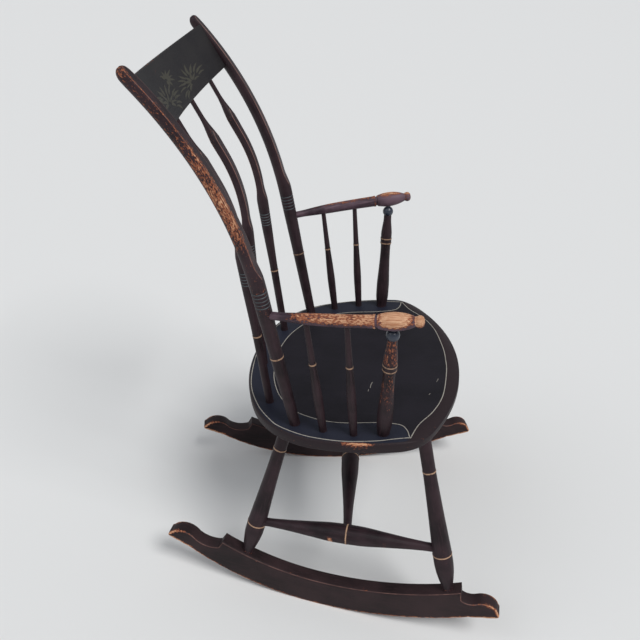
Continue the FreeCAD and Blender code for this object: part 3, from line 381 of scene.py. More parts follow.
def painted(name, dark, light, gloss=0.42, shine=0.22, line_colour=GOLD_LINE):
    """Old paint over wood: it rubs through to a copper undercoat, and then to bare wood."""
    material = bpy.data.materials.new(name)
    nodes = Nodes(material)
    cloudy = nodes.noise(11, 4)
    streaks = nodes.noise(85, 6, stretch=(3, 3, 0.3), rough=0.65)
    fine = nodes.noise(620, 4)
    fleck = nodes.noise(410, 5, stretch=(1, 1, 0.5), rough=0.68)
    patch = nodes.noise(120, 5, stretch=(1, 1, 0.4))
    grain = nodes.noise(150, 8, stretch=(4, 4, 0.16), rough=0.7)
    paint = nodes.mix(nodes.ramp(cloudy, 0.32, 0.68), dark, light)
    paint = nodes.mix(nodes.ramp(streaks, 0.46, 0.7, 0.0, 0.75), paint, light)
    paint = nodes.mix(nodes.value("cool"), paint, COOL_PAINT)
    paint = nodes.mix(nodes.value("warm"), paint, WARM_PAINT)
    paint = nodes.mix(nodes.ramp(fine, 0.66, 0.78, 0.0, 0.35), paint, DUST)
    dusty = nodes.math("MULTIPLY", nodes.value("dust"), nodes.ramp(patch, 0.3, 0.6, 0.55, 0.95))
    paint = nodes.mix(dusty, paint, DUST)
    line_left = nodes.ramp(nodes.noise(260, 6, rough=0.7), 0.52, 0.68, 0.95, 0.2)
    line = nodes.math("MULTIPLY", nodes.value("line"), line_left)
    paint = nodes.mix(line, paint, line_colour)
    # Pale line along edges and ridges, partly edge wear and partly a painted highlight, broken up by
    # streaks
    ridge = nodes.ramp(nodes.value("ridge"), 0.08, 0.55)
    ridge = nodes.math("MULTIPLY", ridge, nodes.ramp(streaks, 0.36, 0.6, 0.85, 0.25))
    paint = nodes.mix(ridge, paint, RIDGE_WEAR_AND_HIGHLIGHT)
    rubbed = nodes.math("MULTIPLY_ADD", fleck, 4.2, -2.1)
    rubbed = nodes.math("ADD", rubbed, nodes.math("MULTIPLY_ADD", patch, 1.4, -0.7))
    rubbed = nodes.math("ADD", rubbed, nodes.math("MULTIPLY_ADD", nodes.value("worn"), 1.35, -0.85))
    thin = nodes.ramp(rubbed, 0.12, 0.44, 0.0, 0.75)
    through = nodes.ramp(rubbed, 0.42, 0.52)
    bare = nodes.ramp(rubbed, 0.86, 1.1)
    wood = nodes.mix(nodes.ramp(grain, 0.34, 0.62), PALE_WOOD, DEEP_WOOD)
    copper = nodes.mix(nodes.ramp(grain, 0.36, 0.7), COPPER, DEEP_COPPER)
    surface = nodes.mix(thin, paint, THIN_PAINT)
    surface = nodes.mix(through, surface, copper)
    surface = nodes.mix(bare, surface, wood)
    height = nodes.math("MULTIPLY_ADD", through, -0.7, nodes.math("MULTIPLY", grain, 0.5))
    height = nodes.math("ADD", height, nodes.math("MULTIPLY", streaks, 0.4))
    height = nodes.math("ADD", height, nodes.math("MULTIPLY", fine, 0.2))
    bump = nodes.add("ShaderNodeBump", {"Strength": 0.5, "Distance": 0.0007, "Height": height})
    rough = nodes.math("MULTIPLY_ADD", cloudy, 0.16, gloss - 0.08)
    rough = nodes.math("MULTIPLY_ADD", streaks, 0.14, rough)
    rough = nodes.math("MULTIPLY_ADD", through, 0.16, rough)
    inputs = {"Base Color": surface, "Roughness": rough, "Normal": bump}
    shader = nodes.add("ShaderNodeBsdfPrincipled", inputs)
    shader.node.inputs["Specular IOR Level"].default_value = shine
    link(nodes.tree, shader, nodes.output.inputs["Surface"])
    return material


DARK_PAINT = painted("dark_paint", colour(25, 16, 20), colour(54, 38, 43))
ROCKER_PAINT = painted("rocker_paint", colour(25, 16, 18), colour(50, 35, 37), gloss=0.5)
SEAT_PAINT = painted("seat_paint", colour(20, 18, 24), colour(30, 27, 34), gloss=0.48, shine=0.2)
ARM_PAINT = painted("arm_paint", colour(42, 30, 38), colour(104, 82, 92))
CREST_PAINT = painted("crest_paint", colour(25, 23, 27), colour(38, 36, 37), gloss=0.5, shine=0.2)
BALL_PAINT = painted("ball_paint", colour(22, 27, 38), colour(44, 52, 68), gloss=0.24, shine=0.6)
STRIPE_PAINT = painted(
    "stripe_paint", colour(24, 22, 28), colour(34, 31, 38), gloss=0.5, line_colour=STRIPE_LINE
)
LEAF_PAINT = painted(
    "leaf_paint", colour(25, 23, 27), colour(38, 36, 37), gloss=0.5, line_colour=LEAF_LINE
)


# Meshes
class Points:
    """Points of one mesh, with what its paint has to know at each of them."""

    # One of these marks a pale line along edges and ridges: partly edge wear and partly a painted
    # highlight
    KINDS = ("worn", "line", "ridge", "dust", "cool", "warm")

    def __init__(self):
        self.verts = []
        self.straight = []
        self.values = {kind: [] for kind in self.KINDS}

    def add(self, spot, straight, **values):
        self.verts.append(spot)
        self.straight.append(straight)
        for kind in self.KINDS:
            self.values[kind].append(values.get(kind, 0.0))


def new_object(name, data):
    item = bpy.data.objects.new(name, data)
    bpy.context.scene.collection.objects.link(item)
    return item


def new_piece(name, points, faces, material, sharp=32.0):
    """A mesh in metres with the point attributes that its material reads."""
    mesh = bpy.data.meshes.new(name)
    mesh.from_pydata([tuple(spot * MM) for spot in points.verts], [], faces)
    layer = mesh.attributes.new("straight", "FLOAT_VECTOR", "POINT")
    layer.data.foreach_set("vector", [part * MM for spot in points.straight for part in spot])
    for kind, values in points.values.items():
        if any(values):
            mesh.attributes.new(kind, "FLOAT", "POINT").data.foreach_set("value", values)
    mesh.materials.append(material)
    piece = new_object(name, mesh)
    work = bmesh.new()
    work.from_mesh(mesh)
    bmesh.ops.recalc_face_normals(work, faces=work.faces)
    work.to_mesh(mesh)
    work.free()
    mesh.shade_smooth()
    mesh.set_sharp_from_angle(angle=math.radians(sharp))
    return piece


def skin(rows, around, first=0):
    """Faces between rows of points, from a first point on, with a cap at each end."""
    faces = []
    for row in range(rows - 1):
        for i in range(around):
            a = first + row * around + i
            b = first + row * around + (i + 1) % around
            faces.append((a, b, b + around, a + around))
    last = first + (rows - 1) * around
    faces.append(tuple(range(first, first + around)))
    faces.append(tuple(range(last, last + around)))
    return faces


def outward_normals(outline):
    """The way out of a counter-clockwise closed outline at each of its points."""
    normals = []
    for i, point in enumerate(outline):
        tangent = (outline[(i + 1) % len(outline)] - outline[i - 1]).normalized()
        normals.append(Vector((tangent.y, -tangent.x)))
    return normals


def ease(value, low, high):
    """Rises smoothly from 0 at low to 1 at high."""
    share = min(1.0, max(0.0, (value - low) / (high - low)))
    return share * share * (3 - 2 * share)


def hump(value, centre, width):
    """1 at the centre, falling away to 0 over about twice the width."""
    return math.exp(-(((value - centre) / width) ** 2))


def settle(piece, node):
    """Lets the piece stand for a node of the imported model."""
    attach(piece, "root")
    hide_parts(node)


def smooth_through(stations):
    """A radius as a function of distance, without overshoot between its stations."""
    places, radii = zip(*stations)
    steps = [(radii[i + 1] - radii[i]) / (places[i + 1] - places[i]) for i in range(len(stations) - 1)]
    slopes = [steps[0]]
    for before, after in zip(steps, steps[1:]):
        slopes.append(0.0 if before * after <= 0 else 2 * before * after / (before + after))
    slopes.append(steps[-1])

    def radius(distance):
        if distance <= places[0]:
            return radii[0]
        if distance >= places[-1]:
            return radii[-1]
        step = max(i for i in range(len(places) - 1) if places[i] <= distance)
        span = places[step + 1] - places[step]
        t = (distance - places[step]) / span
        near = (1 + 2 * t) * (1 - t) ** 2 * radii[step] + t ** 2 * (3 - 2 * t) * radii[step + 1]
        lean = t * (1 - t) ** 2 * slopes[step] - t ** 2 * (1 - t) * slopes[step + 1]
        return near + lean * span

    return radius


# A ring cut or raised round a member: where, how wide, how high, and how much gold
Mark = namedtuple("Mark", "at width height gold")


def gold_ring(at, gold=1.0):
    return [Mark(at, 2.4, 0.5, gold)]


def score_group(at, pitch):
    return [Mark(at + pitch * i, 2.2, -0.9, 0.0) for i in (-2, -1, 0, 1, 2)]


def spread(start, end, count, fringe):
    """Evenly spread angles with one close to each end, and the last one left out."""
    inner = end - start - 2 * fringe
    return [start] + [start + fringe + inner * i / (count - 2) for i in range(count - 1)]


def section(radius, front, back, count=13):
    """A round section, flattened where its front or back flat is nearer than its radius."""
    points = []
    least = math.radians(24)
    spans = []
    for flat in (front, back):
        spans.append(max(least, math.acos(min(1.0, flat / radius)) if flat < radius else 0.0))
    fringe = 1.5 / radius
    for middle, half, flat, sign in ((-90, spans[0], front, -1), (90, spans[1], back, 1)):
        centre = math.radians(middle)
        end = math.radians(middle + 180) - spans[1 if sign < 0 else 0]
        edge = ease(radius - flat, 0, 2.5)
        for i, angle in enumerate(spread(centre - half, centre + half, count, min(fringe, half / 3))):
            y = radius * math.sin(angle)
            y = max(y, -flat) if sign < 0 else min(y, flat)
            points.append((radius * math.cos(angle), y, edge if i == 0 else 0.0))
        for i, angle in enumerate(spread(centre + half, end, count, fringe)):
            points.append((radius * math.cos(angle), radius * math.sin(angle), edge if i == 0 else 0.0))
    return points


NO_FLAT = 1000.0


def member(name, path, stations, material, marks=(), flats=None, worn=None, step=5.0, ridges=1.0):
    """A turned member: a station is a distance from its foot and the radius there."""
    radius = smooth_through(stations)
    first = stations[0][0]
    last = stations[-1][0]
    count = max(2, math.ceil((last - first) / step))
    places = {round(first + (last - first) * i / count, 3) for i in range(count + 1)}
    places |= {round(station[0], 3) for station in stations}
    for mark in marks:
        half = mark.width / 2
        places = {p for p in places if abs(p - mark.at) > half + 0.5}
        places |= {mark.at - half - 0.25, mark.at - half, mark.at, mark.at + half, mark.at + half + 0.25}
    points = Points()
    rows = sorted(places)
    for place in rows:
        size = radius(place)
        gold = 0.0
        dust = 0.0
        for mark in marks:
            away = abs(place - mark.at)
            if away <= mark.width / 2 + 1e-6:
                share = 1.0 if mark.height > 0 or away < mark.width / 4 else 0.0
                size += mark.height * share
                gold = max(gold, mark.gold)
                if mark.gold == 0.0:
                    dust = share
        front, back = flats(place) if flats else (NO_FLAT, NO_FLAT)
        here = path.at(place)
        centre = here.to_translation()
        for x, y, edge in section(size, front, back):
            spot = here @ Vector((x, y, 0))
            wear = worn(place, (spot - centre).normalized()) if worn else 0.0
            # Edges of the flats get more wear and a pale line: partly edge wear and partly a painted
            # highlight
            wear += 0.35 * edge
            points.add(spot, (x, y, place), worn=wear, line=gold, dust=dust, ridge=ridges * edge)
    around = len(points.verts) // len(rows)
    return new_piece(name, points, skin(len(rows), around), material)


def wood(label, path, stations, material=DARK_PAINT, slot="dark_paint", **details):
    """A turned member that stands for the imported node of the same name."""
    settle(member(label + "_wood", path, stations, material, **details), label)


# Legs and stretchers
def build_leg(row, side_name, side):
    foot, top = leg_ends(row, side)
    length = (top - foot).length
    lower = length * LEG_LOWER_RING
    upper = length * LEG_UPPER_RING[row]
    stations = [
        (-LEG_DEPTH, 10.0), (2, 10.0), (10, 11.2), (24, 14.2), (44, 17.2), (length * 0.19, 18.2),
        (lower, 18.1), (length * 0.36, 16.8), (length * 0.52, 14.7), (length * 0.68, 13.0),
        (upper, 12.1), (length + LEG_DEPTH * 0.9, 12.0),
    ]
    marks = gold_ring(lower) + gold_ring(upper)
    outward = Vector((side, 0, 0))

    def worn(place, normal):
        out = max(0.0, normal.dot(outward))
        return 0.15 + 0.25 * out * hump(place, length * 0.27, 34) + 0.5 * hump(place, 2, 8)

    wood("%s_leg_%s" % (row, side_name), Path(along(foot, top)), stations, marks=marks, worn=worn)


def build_stretcher(label, start, end, side=0):
    length = (end - start).length
    half = length / 2
    rising = [(4, 8.3), (22, 8.3), (half * 0.3, 9.8), (half * 0.6, 14.4), (half * 0.85, 18.2)]
    falling = [(length - place, radius) for place, radius in rising[::-1]]
    chip_way = Vector((side, 0, -0.4)).normalized()

    def worn(place, normal):
        chip = hump(place, half - 30, 5) * ease(normal.dot(chip_way), 0.75, 0.95) if side else 0.0
        tick = hump(place, half + 74, 2) * ease(normal.dot(chip_way), 0.6, 0.9) if side else 0.0
        return 0.1 + 0.15 * hump(place, half, 30) + 1.7 * chip + 1.5 * tick

    stations = rising + [(half, 18.7)] + falling
    wood(label, Path(along(start, end)), stations, marks=gold_ring(half), worn=worn, step=4.0)


# Back posts, spindles and crest
def build_post(side_name, side):
    path = post_path(side)
    length = POST_STRAIGHT + path.arc
    dome_start = length + 2
    stations = [
        (-20, 9.6), (4, 9.6), (70, 10.4), (POST_RING, 11.4), (210, 12.4), (263, 13.2), (286, 13.3),
        (330, 13.5), (400, 13.2), (500, 12.7), (600, 12.1), (length - 6, 11.7), (dome_start, 11.3),
    ]
    for i in range(1, 7):
        angle = POST_DOME_TURN * i / 6
        above_tip = math.cos(angle) - math.cos(POST_DOME_TURN)
        radius = POST_DOME_TIP + POST_DOME_SPREAD * above_tip / (1 - math.cos(POST_DOME_TURN))
        rise = (POST_DOME - 2) * math.sin(angle) / math.sin(POST_DOME_TURN)
        stations.append((dome_start + rise, radius))
    stations.append((length + POST_DOME + 0.8, 3.0))
    marks = gold_ring(POST_RING, 0.85 if side < 0 else 0.5) + score_group(*POST_SCORES)

    def flats(place):
        return 15.2 - 8.2 * ease(place, *POST_SHAVED), NO_FLAT

    outward = Vector((side, 0, 0.25)).normalized()
    share = 1.0 if side < 0 else FAR_WEAR["post"]

    def worn(place, normal):
        out = ease(normal.dot(outward), 0.0, 0.75)
        upper = ease(place, 300, 380) * (0.55 + 0.5 * hump(place, 440, 85))
        lower = 0.42 * ease(place, 60, 300)
        tip = 0.3 * ease(place, length, length + POST_DOME)
        return 0.1 + max(upper, lower) * out * share + tip * (0.4 + 0.6 * share)

    wood("back_post_" + side_name, path, stations, marks=marks, flats=flats, worn=worn)


def build_spindle(name):
    path = spindle_path(name)
    top = path.length
    straight = path.straight
    shoulder = top - SPINDLE_SHOULDER
    ring = straight * SPINDLE_RING
    scores, pitch = SPINDLE_SCORES
    scores *= straight
    stations = [
        (-18, 7.4), (3, 7.4), (ring, 7.7), (scores, 10.4), (straight, 11.2), (straight + path.arc, 11.8),
        (shoulder - 12, 12.3), (shoulder - 1, 12.2), (shoulder + 1, 11.2), (shoulder + 6, 9.6),
        (shoulder + 16, 6.9), (shoulder + 30, 4.8), (top - 30, 4.0), (top + 8, 3.9),
    ]
    marks = gold_ring(ring, 0.8) + score_group(scores, pitch)
    shaved, run = SPINDLE_SHAVED
    shaved *= straight

    def flats(place):
        flat = 12.2 - 5.9 * ease(place, shaved, shaved + run)
        return flat, flat

    def worn(place, normal):
        return 0.12 + 0.4 * hump(place, shoulder, 26)

    label = "back_spindle_" + name
    # The flats' edges get a weaker pale line, partly edge wear and partly a painted highlight
    wood(label, path, stations, marks=marks, flats=flats, worn=worn, step=4.0, ridges=0.8)


def crest_loop():
    """The crest's section from its front, behind and up, with rounded edges."""
    edge = CREST_EDGE
    top = CREST_HEIGHT - edge
    rear = CREST_THICKNESS - edge
    flat = CREST_HEIGHT - 2 * edge
    loop = []
    for behind, up, start in ((edge, edge, 270), (edge, top, 180), (rear, top, 90), (rear, edge, 0)):
        for i in range(5):
            angle = math.radians(start - 90 * i / 4)
            loop.append((behind + edge * math.cos(angle), up + edge * math.sin(angle)))
        if start == 270:
            loop += [(0.0, edge + flat * i / 16) for i in range(1, 16)]
        if start == 90:
            loop += [(CREST_THICKNESS, top - flat * i / 16) for i in range(1, 16)]
    return loop


def build_crest():
    columns = 110
    reach = CREST_HALF - 0.5
    loop = crest_loop()
    points = Points()
    for column in range(columns + 1):
        x = reach * (2 * column / columns - 1)
        for behind, up in loop:
            rim = hump(min(up, CREST_HEIGHT - up), 0, 2.2)
            rim *= hump(min(behind, CREST_THICKNESS - behind), 0, 2.6)
            rosy = 0.5 * hump(x, -96, 26) * hump(up, 72, 14)
            points.add(crest_point(x, up, behind), (up, behind, x), worn=0.75 * rim + rosy)
    piece = new_piece("crest_wood", points, skin(columns + 1, len(loop)), CREST_PAINT)
    settle(piece, "crest")


LEAF_STRETCH = 3.3
LEAF_SPRAYS = [
    # middle across and up, direction, half the fan, and each ring's start, count and length
    ((-132, 24), 66, 110, ((3, 7, 14), (13, 13, 15))),
    ((-76, 52), 10, 100, ((2, 8, 14),)),
    ((44, 20), 112, 100, ((3, 7, 14), (13, 12, 17))),
]


def build_leaf(points, x, up, angle, length, width, curl):
    """A tapered leaf stroke that lies along the crest's front and curls to one side."""
    count = 9
    here = Vector((0, 0))
    heading = math.radians(angle)
    for i in range(count + 1):
        share = i / count
        ahead = Vector((math.cos(heading), math.sin(heading)))
        across = Vector((-ahead.y, ahead.x)) * (width / 2) * (0.12 + math.sin(math.pi * share ** 0.75))
        for side, behind in ((1, 0.3), (0.9, -0.15), (-0.9, -0.15), (-1, 0.3)):
            flat = here + across * side
            place = Vector((x + LEAF_STRETCH * flat.x, up + flat.y))
            points.add(crest_point(place.x, place.y, behind), (place.y, behind, place.x), line=0.9)
        here = here + ahead * length / count
        heading += math.radians(curl) / count
    return count + 1


def build_leaves():
    points = Points()
    faces = []
    for (x, up), aim, fan, rings in LEAF_SPRAYS:
        for start, count, length in rings:
            for i in range(count):
                share = 2 * i / (count - 1) - 1
                angle = aim + fan * share + random.uniform(-5, 5)
                way = Vector((math.cos(math.radians(angle)), math.sin(math.radians(angle)))) * start
                long = length * (1 - 0.2 * share ** 2) * random.uniform(0.85, 1.12)
                wide = random.uniform(2.6, 3.9)
                spot = (x + LEAF_STRETCH * way.x, up + way.y)
                first = len(points.verts)
                rows = build_leaf(points, *spot, angle - 24 * share, long, wide, 85 * share)
                faces += skin(rows, 4, first)
    piece = new_piece("crest_leaves", points, faces, LEAF_PAINT)
    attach(piece, "root")


# Arms and what stands under them
def build_arm(side_name, side):
    path = arm_path(side)
    end = path.arc
    stations = [
        (-78.5, 1.5), (-78.2, 4.2), (-77.0, 7.0), (-74.5, 9.0), (-71.5, 9.8), (-68.8, 9.4),
        (-66.6, 8.3), (-65.2, 7.8), (-63.0, 8.6), (-58.0, 10.6), (-50.0, 12.9), (-41.0, 14.4),
        (-URN_MIDDLE, 14.9), (-23.0, 14.4), (-14.0, 12.9), (-7.2, 11.1), (-6.3, 9.4), (-3.5, 9.3),
        (-3.1, 11.4), (-0.1, 11.5), (0.5, 10.9), (20.0, 10.7), (end * 0.35, 10.4),
        (end * 0.6, 10.0), (end * 0.82, 8.6), (end, 7.0), (end + 18, 6.8),
    ]
    lit = Vector((side * 0.55, 0, 0.83))
    share = 1.0 if side < 0 else FAR_WEAR["arm"]

    def worn(place, normal):
        up = ease(normal.dot(lit), -0.25, 0.75)
        if place < BUTTON_NECK:
            return share * (1.0 + 0.8 * up)
        if place < URN_START:
            dark = 0.9 * hump(place, -63, 3.5) + 0.9 * hump(place, -57, 6) * (1 - 0.5 * up)
            dark += 0.7 * hump(place, -10, 4)
            return (0.8 + 0.2 * share) * share * (0.3 + 1.6 * up) - dark
        if place < BAND_START:
            return 0.0
        if place < 0.3:
            return 1.3 * share
        fore = 1 - ease(place, 50, 190)
        tail = 1 - ease(place, end * 0.8, end)
        return 0.1 + share * up * (0.58 * tail + 0.66 * fore)

    wood("arm_" + side_name, path, stations, ARM_PAINT, "worn_paint", worn=worn, step=3.0)


def build_arm_post(side_name, side):
    foot = seat_point(side, *ARM_POST_FOOT)
    urn = arm_path(side).at(-URN_MIDDLE).to_translation()
    length = (urn - foot).length
    along_arm = arm_path(side).at(0).to_3x3() @ UP
    slant = math.sqrt(1 - ((urn - foot).normalized().dot(along_arm)) ** 2)
    ball = length - (URN_RADIUS + BALL_GAP + BALL_RADIUS) / slant
    lower = ball * 0.675
    upper = ball * 0.725
    stations = [
        (-20, 10.8), (1, 10.8), (4, 11.1), (ball * 0.12, 13.4), (ball * 0.22, 13.5),
        (ball * 0.37, 12.0), (ball * 0.52, 10.6), (ball * 0.6, 10.3), (lower - 2.6, 10.6),
        (lower - 1.4, 11.5), (upper + 2.0, 11.7), (upper + 3.2, 11.4), (ball * 0.77, 11.5),
        (ball * 0.84, 10.1), (ball * 0.91, 8.3), (ball - 7.6, 7.9),
    ]
    marks = [Mark(lower + 1.0, 2.0, 0.5, 0.8), Mark(upper, 2.0, 0.5, 0.8)]
    outward = Vector((side, 0, 0))
    share = 1.0 if side < 0 else FAR_WEAR["arm_post"]

    def worn(place, normal):
        out = 0.35 + 0.65 * ease(normal.dot(outward), -0.3, 0.7)
        neck = 0.62 * ease(place, upper, upper + 6) * out
        specks = 0.5 * hump(place, ball * 0.5, 40) * out
        return 0.25 + share * (neck + specks)

    label = "arm_post_" + side_name
    path = Path(along(foot, urn))
    wood(label, path, stations, marks=marks, worn=worn, step=3.0)
    beads = []
    for i in range(-11, 12):
        angle = math.radians(64 * i / 11)
        beads.append((ball + BALL_RADIUS * math.sin(angle), BALL_RADIUS * math.cos(angle)))
    beads = [(ball - 11.6, 4.6)] + beads + [(ball + 13.5, 4.9)]
    settle(member("ball_" + side_name, path, beads, BALL_PAINT, step=3.0), label)


def build_arm_spindle(row, side_name, side):
    out, back, on_arm = ARM_SPINDLES[row]
    foot = seat_point(side, out, back)
    top = arm_path(side).at(on_arm).to_translation()
    length = (top - foot).length
    stations = [
        (-16, 6.6), (3, 6.7), (length * 0.15, 7.5), (length * 0.3, 8.1), (length * 0.44, 7.4),
        (length * 0.62, 5.8), (length * 0.8, 5.0), (length * 0.92, 4.6), (length - 3, 4.5),
    ]
    outward = Vector((side, 0, 0))

    def worn(place, normal):
        return 0.1 + 0.15 * max(0.0, normal.dot(outward)) * ease(place, 30, 120)

    label = "arm_spindle_%s_%s" % (row, side_name)
    marks = gold_ring(length * 0.62, 0.8)
    wood(label, Path(along(foot, top)), stations, marks=marks, worn=worn, step=4.0)


# Rockers
def three_point_arc(start, end, bulge, count):
    """Points after start up to end, on an arc that stands right of its chord by the bulge."""
    start = Vector(start)
    end = Vector(end)
    chord = end - start
    half = chord.length / 2
    if abs(bulge) < 1e-6:
        return [start.lerp(end, i / count) for i in range(1, count + 1)]
    radius = (half ** 2 + bulge ** 2) / (2 * abs(bulge))
    sweep = 2 * math.atan2(abs(bulge), half) * 2
    side = 1 if bulge > 0 else -1
    right = Vector((chord.y, -chord.x)).normalized() * side
    centre = (start + end) / 2 - right * (radius - abs(bulge))
    spoke = start - centre
    points = []
    for i in range(1, count + 1):
        angle = sweep * i / count * side
        cos = math.cos(angle)
        sin = math.sin(angle)
        points.append(centre + Vector((spoke.x * cos - spoke.y * sin, spoke.x * sin + spoke.y * cos)))
    return points


def rocker_outline():
    """Counter-clockwise from the floor: along the roll to the front, and back along the top."""
    halves = {}
    for sign, size in ROCKER_ENDS.items():
        reach, drop, slope = size["step"]
        top = (reach, crown_height(reach * sign))
        foot = (reach + slope, top[1] - drop)
        dip = (foot[0] + size["dip"][0], foot[1] + size["dip"][1])
        nose = (reach + size["nose"][0], dip[1] - size["nose"][1])
        tip = (nose[0], nose[1] - size["tip"][0])
        under = nose[0] - size["under"]
        rolling = (under, size["roll"] - math.sqrt(size["roll"] ** 2 - under ** 2))
        halves[sign] = [(point[0] * sign, point[1]) for point in (rolling, tip, nose, dip, foot, top)]

    def sag(first, last, curve):
        chord = math.hypot(last[0] - first[0], last[1] - first[1])
        return curve - math.sqrt(curve ** 2 - chord ** 2 / 4)

    front = ROCKER_ENDS[1]
    rear = ROCKER_ENDS[-1]
    floor = (0.0, 0.0)
    middle = (0.0, ROCKER_DEPTH)
    # Where each arc ends, how far it bulges, and its count of points
    under, tip, nose, dip, foot, top = halves[1]
    steps = [
        (under, sag(floor, under, front["roll"]), 34), (tip, 0.0, 6), (nose, front["tip"][1], 6),
        (dip, front["nose"][2], 10), (foot, -front["dip"][2], 8), (top, 0.0, 4),
        (middle, -sag(middle, top, front["crown"]), 30),
    ]
    under, tip, nose, dip, foot, top = halves[-1]
    steps += [
        (top, -sag(middle, top, rear["crown"]), 22), (foot, 0.0, 4), (dip, -rear["dip"][2], 10),
        (nose, rear["nose"][2], 14), (tip, rear["tip"][1], 6), (under, 0.0, 6),
        (floor, sag(floor, under, rear["roll"]), 30),
    ]
    outline = []
    here = floor
    for end, bulge, count in steps:
        outline += three_point_arc(here, end, bulge, count)
        here = end
    return outline


def build_rocker(side_name, side):
    outline = rocker_outline()
    count = len(outline)
    normals = outward_normals(outline)
    # No ring goes further in than the outline's own inner curve allows
    room = []
    for point, normal in zip(outline, normals):
        least = 14.0
        for other in outline:
            away = other - point
            inward = -away.dot(normal)
            if inward > 1e-3:
                least = min(least, away.length_squared / (2 * inward))
        room.append(0.85 * least)
    half = ROCKER_THICKNESS / 2
    rings = [(7.0, half), (ROCKER_ROUND, half)]
    for angle in (math.radians(30), math.radians(60), math.radians(90)):
        rings.append((ROCKER_ROUND * (1 - math.sin(angle)), half - ROCKER_ROUND * (1 - math.cos(angle))))
    rings.append((0.0, 4.0))
    rings += [(inset, -y) for inset, y in reversed(rings)]
    place = rocker_frame(side)
    noses = {sign: sign * (size["step"][0] + size["nose"][0]) for sign, size in ROCKER_ENDS.items()}
    points = Points()
    for inset, y in rings:
        rim = hump(inset + abs(abs(y) - half), 0.8, 2.4)
        for point, normal, most in zip(outline, normals, room):
            spot = point - normal * min(inset, most)
            low = ease(-normal.y, 0.2, 0.8)
            ragged = 0.0
            if inset < 3:
                ragged = 0.5 * low * math.sin(point.x * 0.37) * math.sin(point.x * 0.113 + 2)
            nose = max(hump(point.x, noses[1], 34), hump(point.x, noses[-1], 26))
            ends = max(ease(point.x, 240, 330), ease(-point.x, 200, 290))
            wear = 0.15 + rim * (0.3 + 0.85 * low + 0.25 * ends + 1.1 * nose)
            wear += low * hump(inset, 0, 5) * (0.2 + 0.4 * ends)
            # A pale line along the upper edges: partly edge wear and partly a painted highlight
            ridge = (0.45 + 0.45 * ends) * hump(inset, 1.2, 0.5) * (1 - low)
            raised = place @ Vector((spot.x, y, max(0.0, spot.y + ragged)))
            points.add(raised, (spot.y, y, spot.x), worn=wear, ridge=ridge)
    piece = new_piece("rocker_%s_wood" % side_name, points, skin(len(rings), count), ROCKER_PAINT)
    settle(piece, "rocker_" + side_name)


# Seat
def seat_outline():
    """Counter-clockwise points of the plank's edge, with round corners."""
    front = (Vector((0, SEAT_FRONT + SEAT_CURVES["front"])), SEAT_CURVES["front"])
    back = (Vector((0, SEAT_BACK - SEAT_CURVES["back"])), SEAT_CURVES["back"])
    inner = SEAT_HALF_WIDTH - SEAT_CURVES["side"]
    left = (Vector((inner, SEAT_WIDEST)), SEAT_CURVES["side"])
    right = (Vector((-inner, SEAT_WIDEST)), SEAT_CURVES["side"])

    def corner(first, second, name, side):
        """The circle of a corner that touches two larger ones from inside, on one side of the seat."""
        radius = SEAT_CURVES[name]
        reach = (first[1] - radius, second[1] - radius)
        apart = (second[0] - first[0]).length
        towards = (second[0] - first[0]) / apart
        distance = (reach[0] ** 2 - reach[1] ** 2 + apart ** 2) / (2 * apart)
        aside = Vector((-towards.y, towards.x)) * math.sqrt(reach[0] ** 2 - distance ** 2)
        foot = first[0] + towards * distance
        return max((foot + aside, foot - aside), key=lambda spot: spot.x * side), radius

    circles = [
        front, corner(front, left, "front_corner", 1), left, corner(left, back, "back_corner", 1),
        back, corner(back, right, "back_corner", -1), right, corner(right, front, "front_corner", -1),
    ]
    joints = []
    for pair in zip(circles[-1:] + circles, circles):
        small, large = sorted(pair, key=lambda circle: circle[1])
        joints.append(large[0] + (small[0] - large[0]).normalized() * large[1])
    points = []
    for index, (centre, radius) in enumerate(circles):
        start = joints[index] - centre
        end = joints[(index + 1) % len(joints)] - centre
        first = math.atan2(start.y, start.x)
        last = math.atan2(end.y, end.x)
        if last < first:
            last += 2 * math.pi
        steps = max(8, round(radius * (last - first) / 7))
        for i in range(steps):
            angle = first + (last - first) * i / steps
            points.append(centre + Vector((math.cos(angle), math.sin(angle))) * radius)
    return points


def seat_drop(x, y):
    """How far the top is eased down towards the front edge."""
    centre = SEAT_FRONT + SEAT_CURVES["front"]
    share = (math.hypot(x, y - centre) - (SEAT_CURVES["front"] - SEAT_ROLL_RUN)) / SEAT_ROLL_REACH
    if share <= 0 or y > centre:
        return 0.0
    return SEAT_ROLL_DEPTH * share - SEAT_ROLL_SAG * share * (1 - share)


# The sitter's left halves of the painted lines, from the side to the middle
OUTER_STRIPE = [
    (239, -125), (242, -100), (247, -66), (247, -15), (239, 29), (227, 64), (205, 102), (185, 122),
    (141, 150), (77, 172), (0, 178),
]
INNER_STRIPE = [
    (238, -125), (218, -121), (203, -108), (197, -68), (197, -18), (191, 21), (177, 54), (160, 80),
    (133, 101), (100, 118), (51, 131), (0, 134),
]
FRONT_STRIPE = [(240, -126), (203, -143), (166, -170), (117, -191), (45, -203), (0, -205)]
# Name, points and width
SCRATCHES = [
    ("a", [(-74, -61), (-83, -58), (-92, -57)], 1.5),
    ("b", [(-97, -54), (-103, -53)], 1.1),
    ("c", [(33, -14), (37, -15)], 1.4),
    ("d", [(-66, -186), (-76, -182)], 1.0),
    ("e", [(-112, -168), (-117, -165)], 1.1),
]


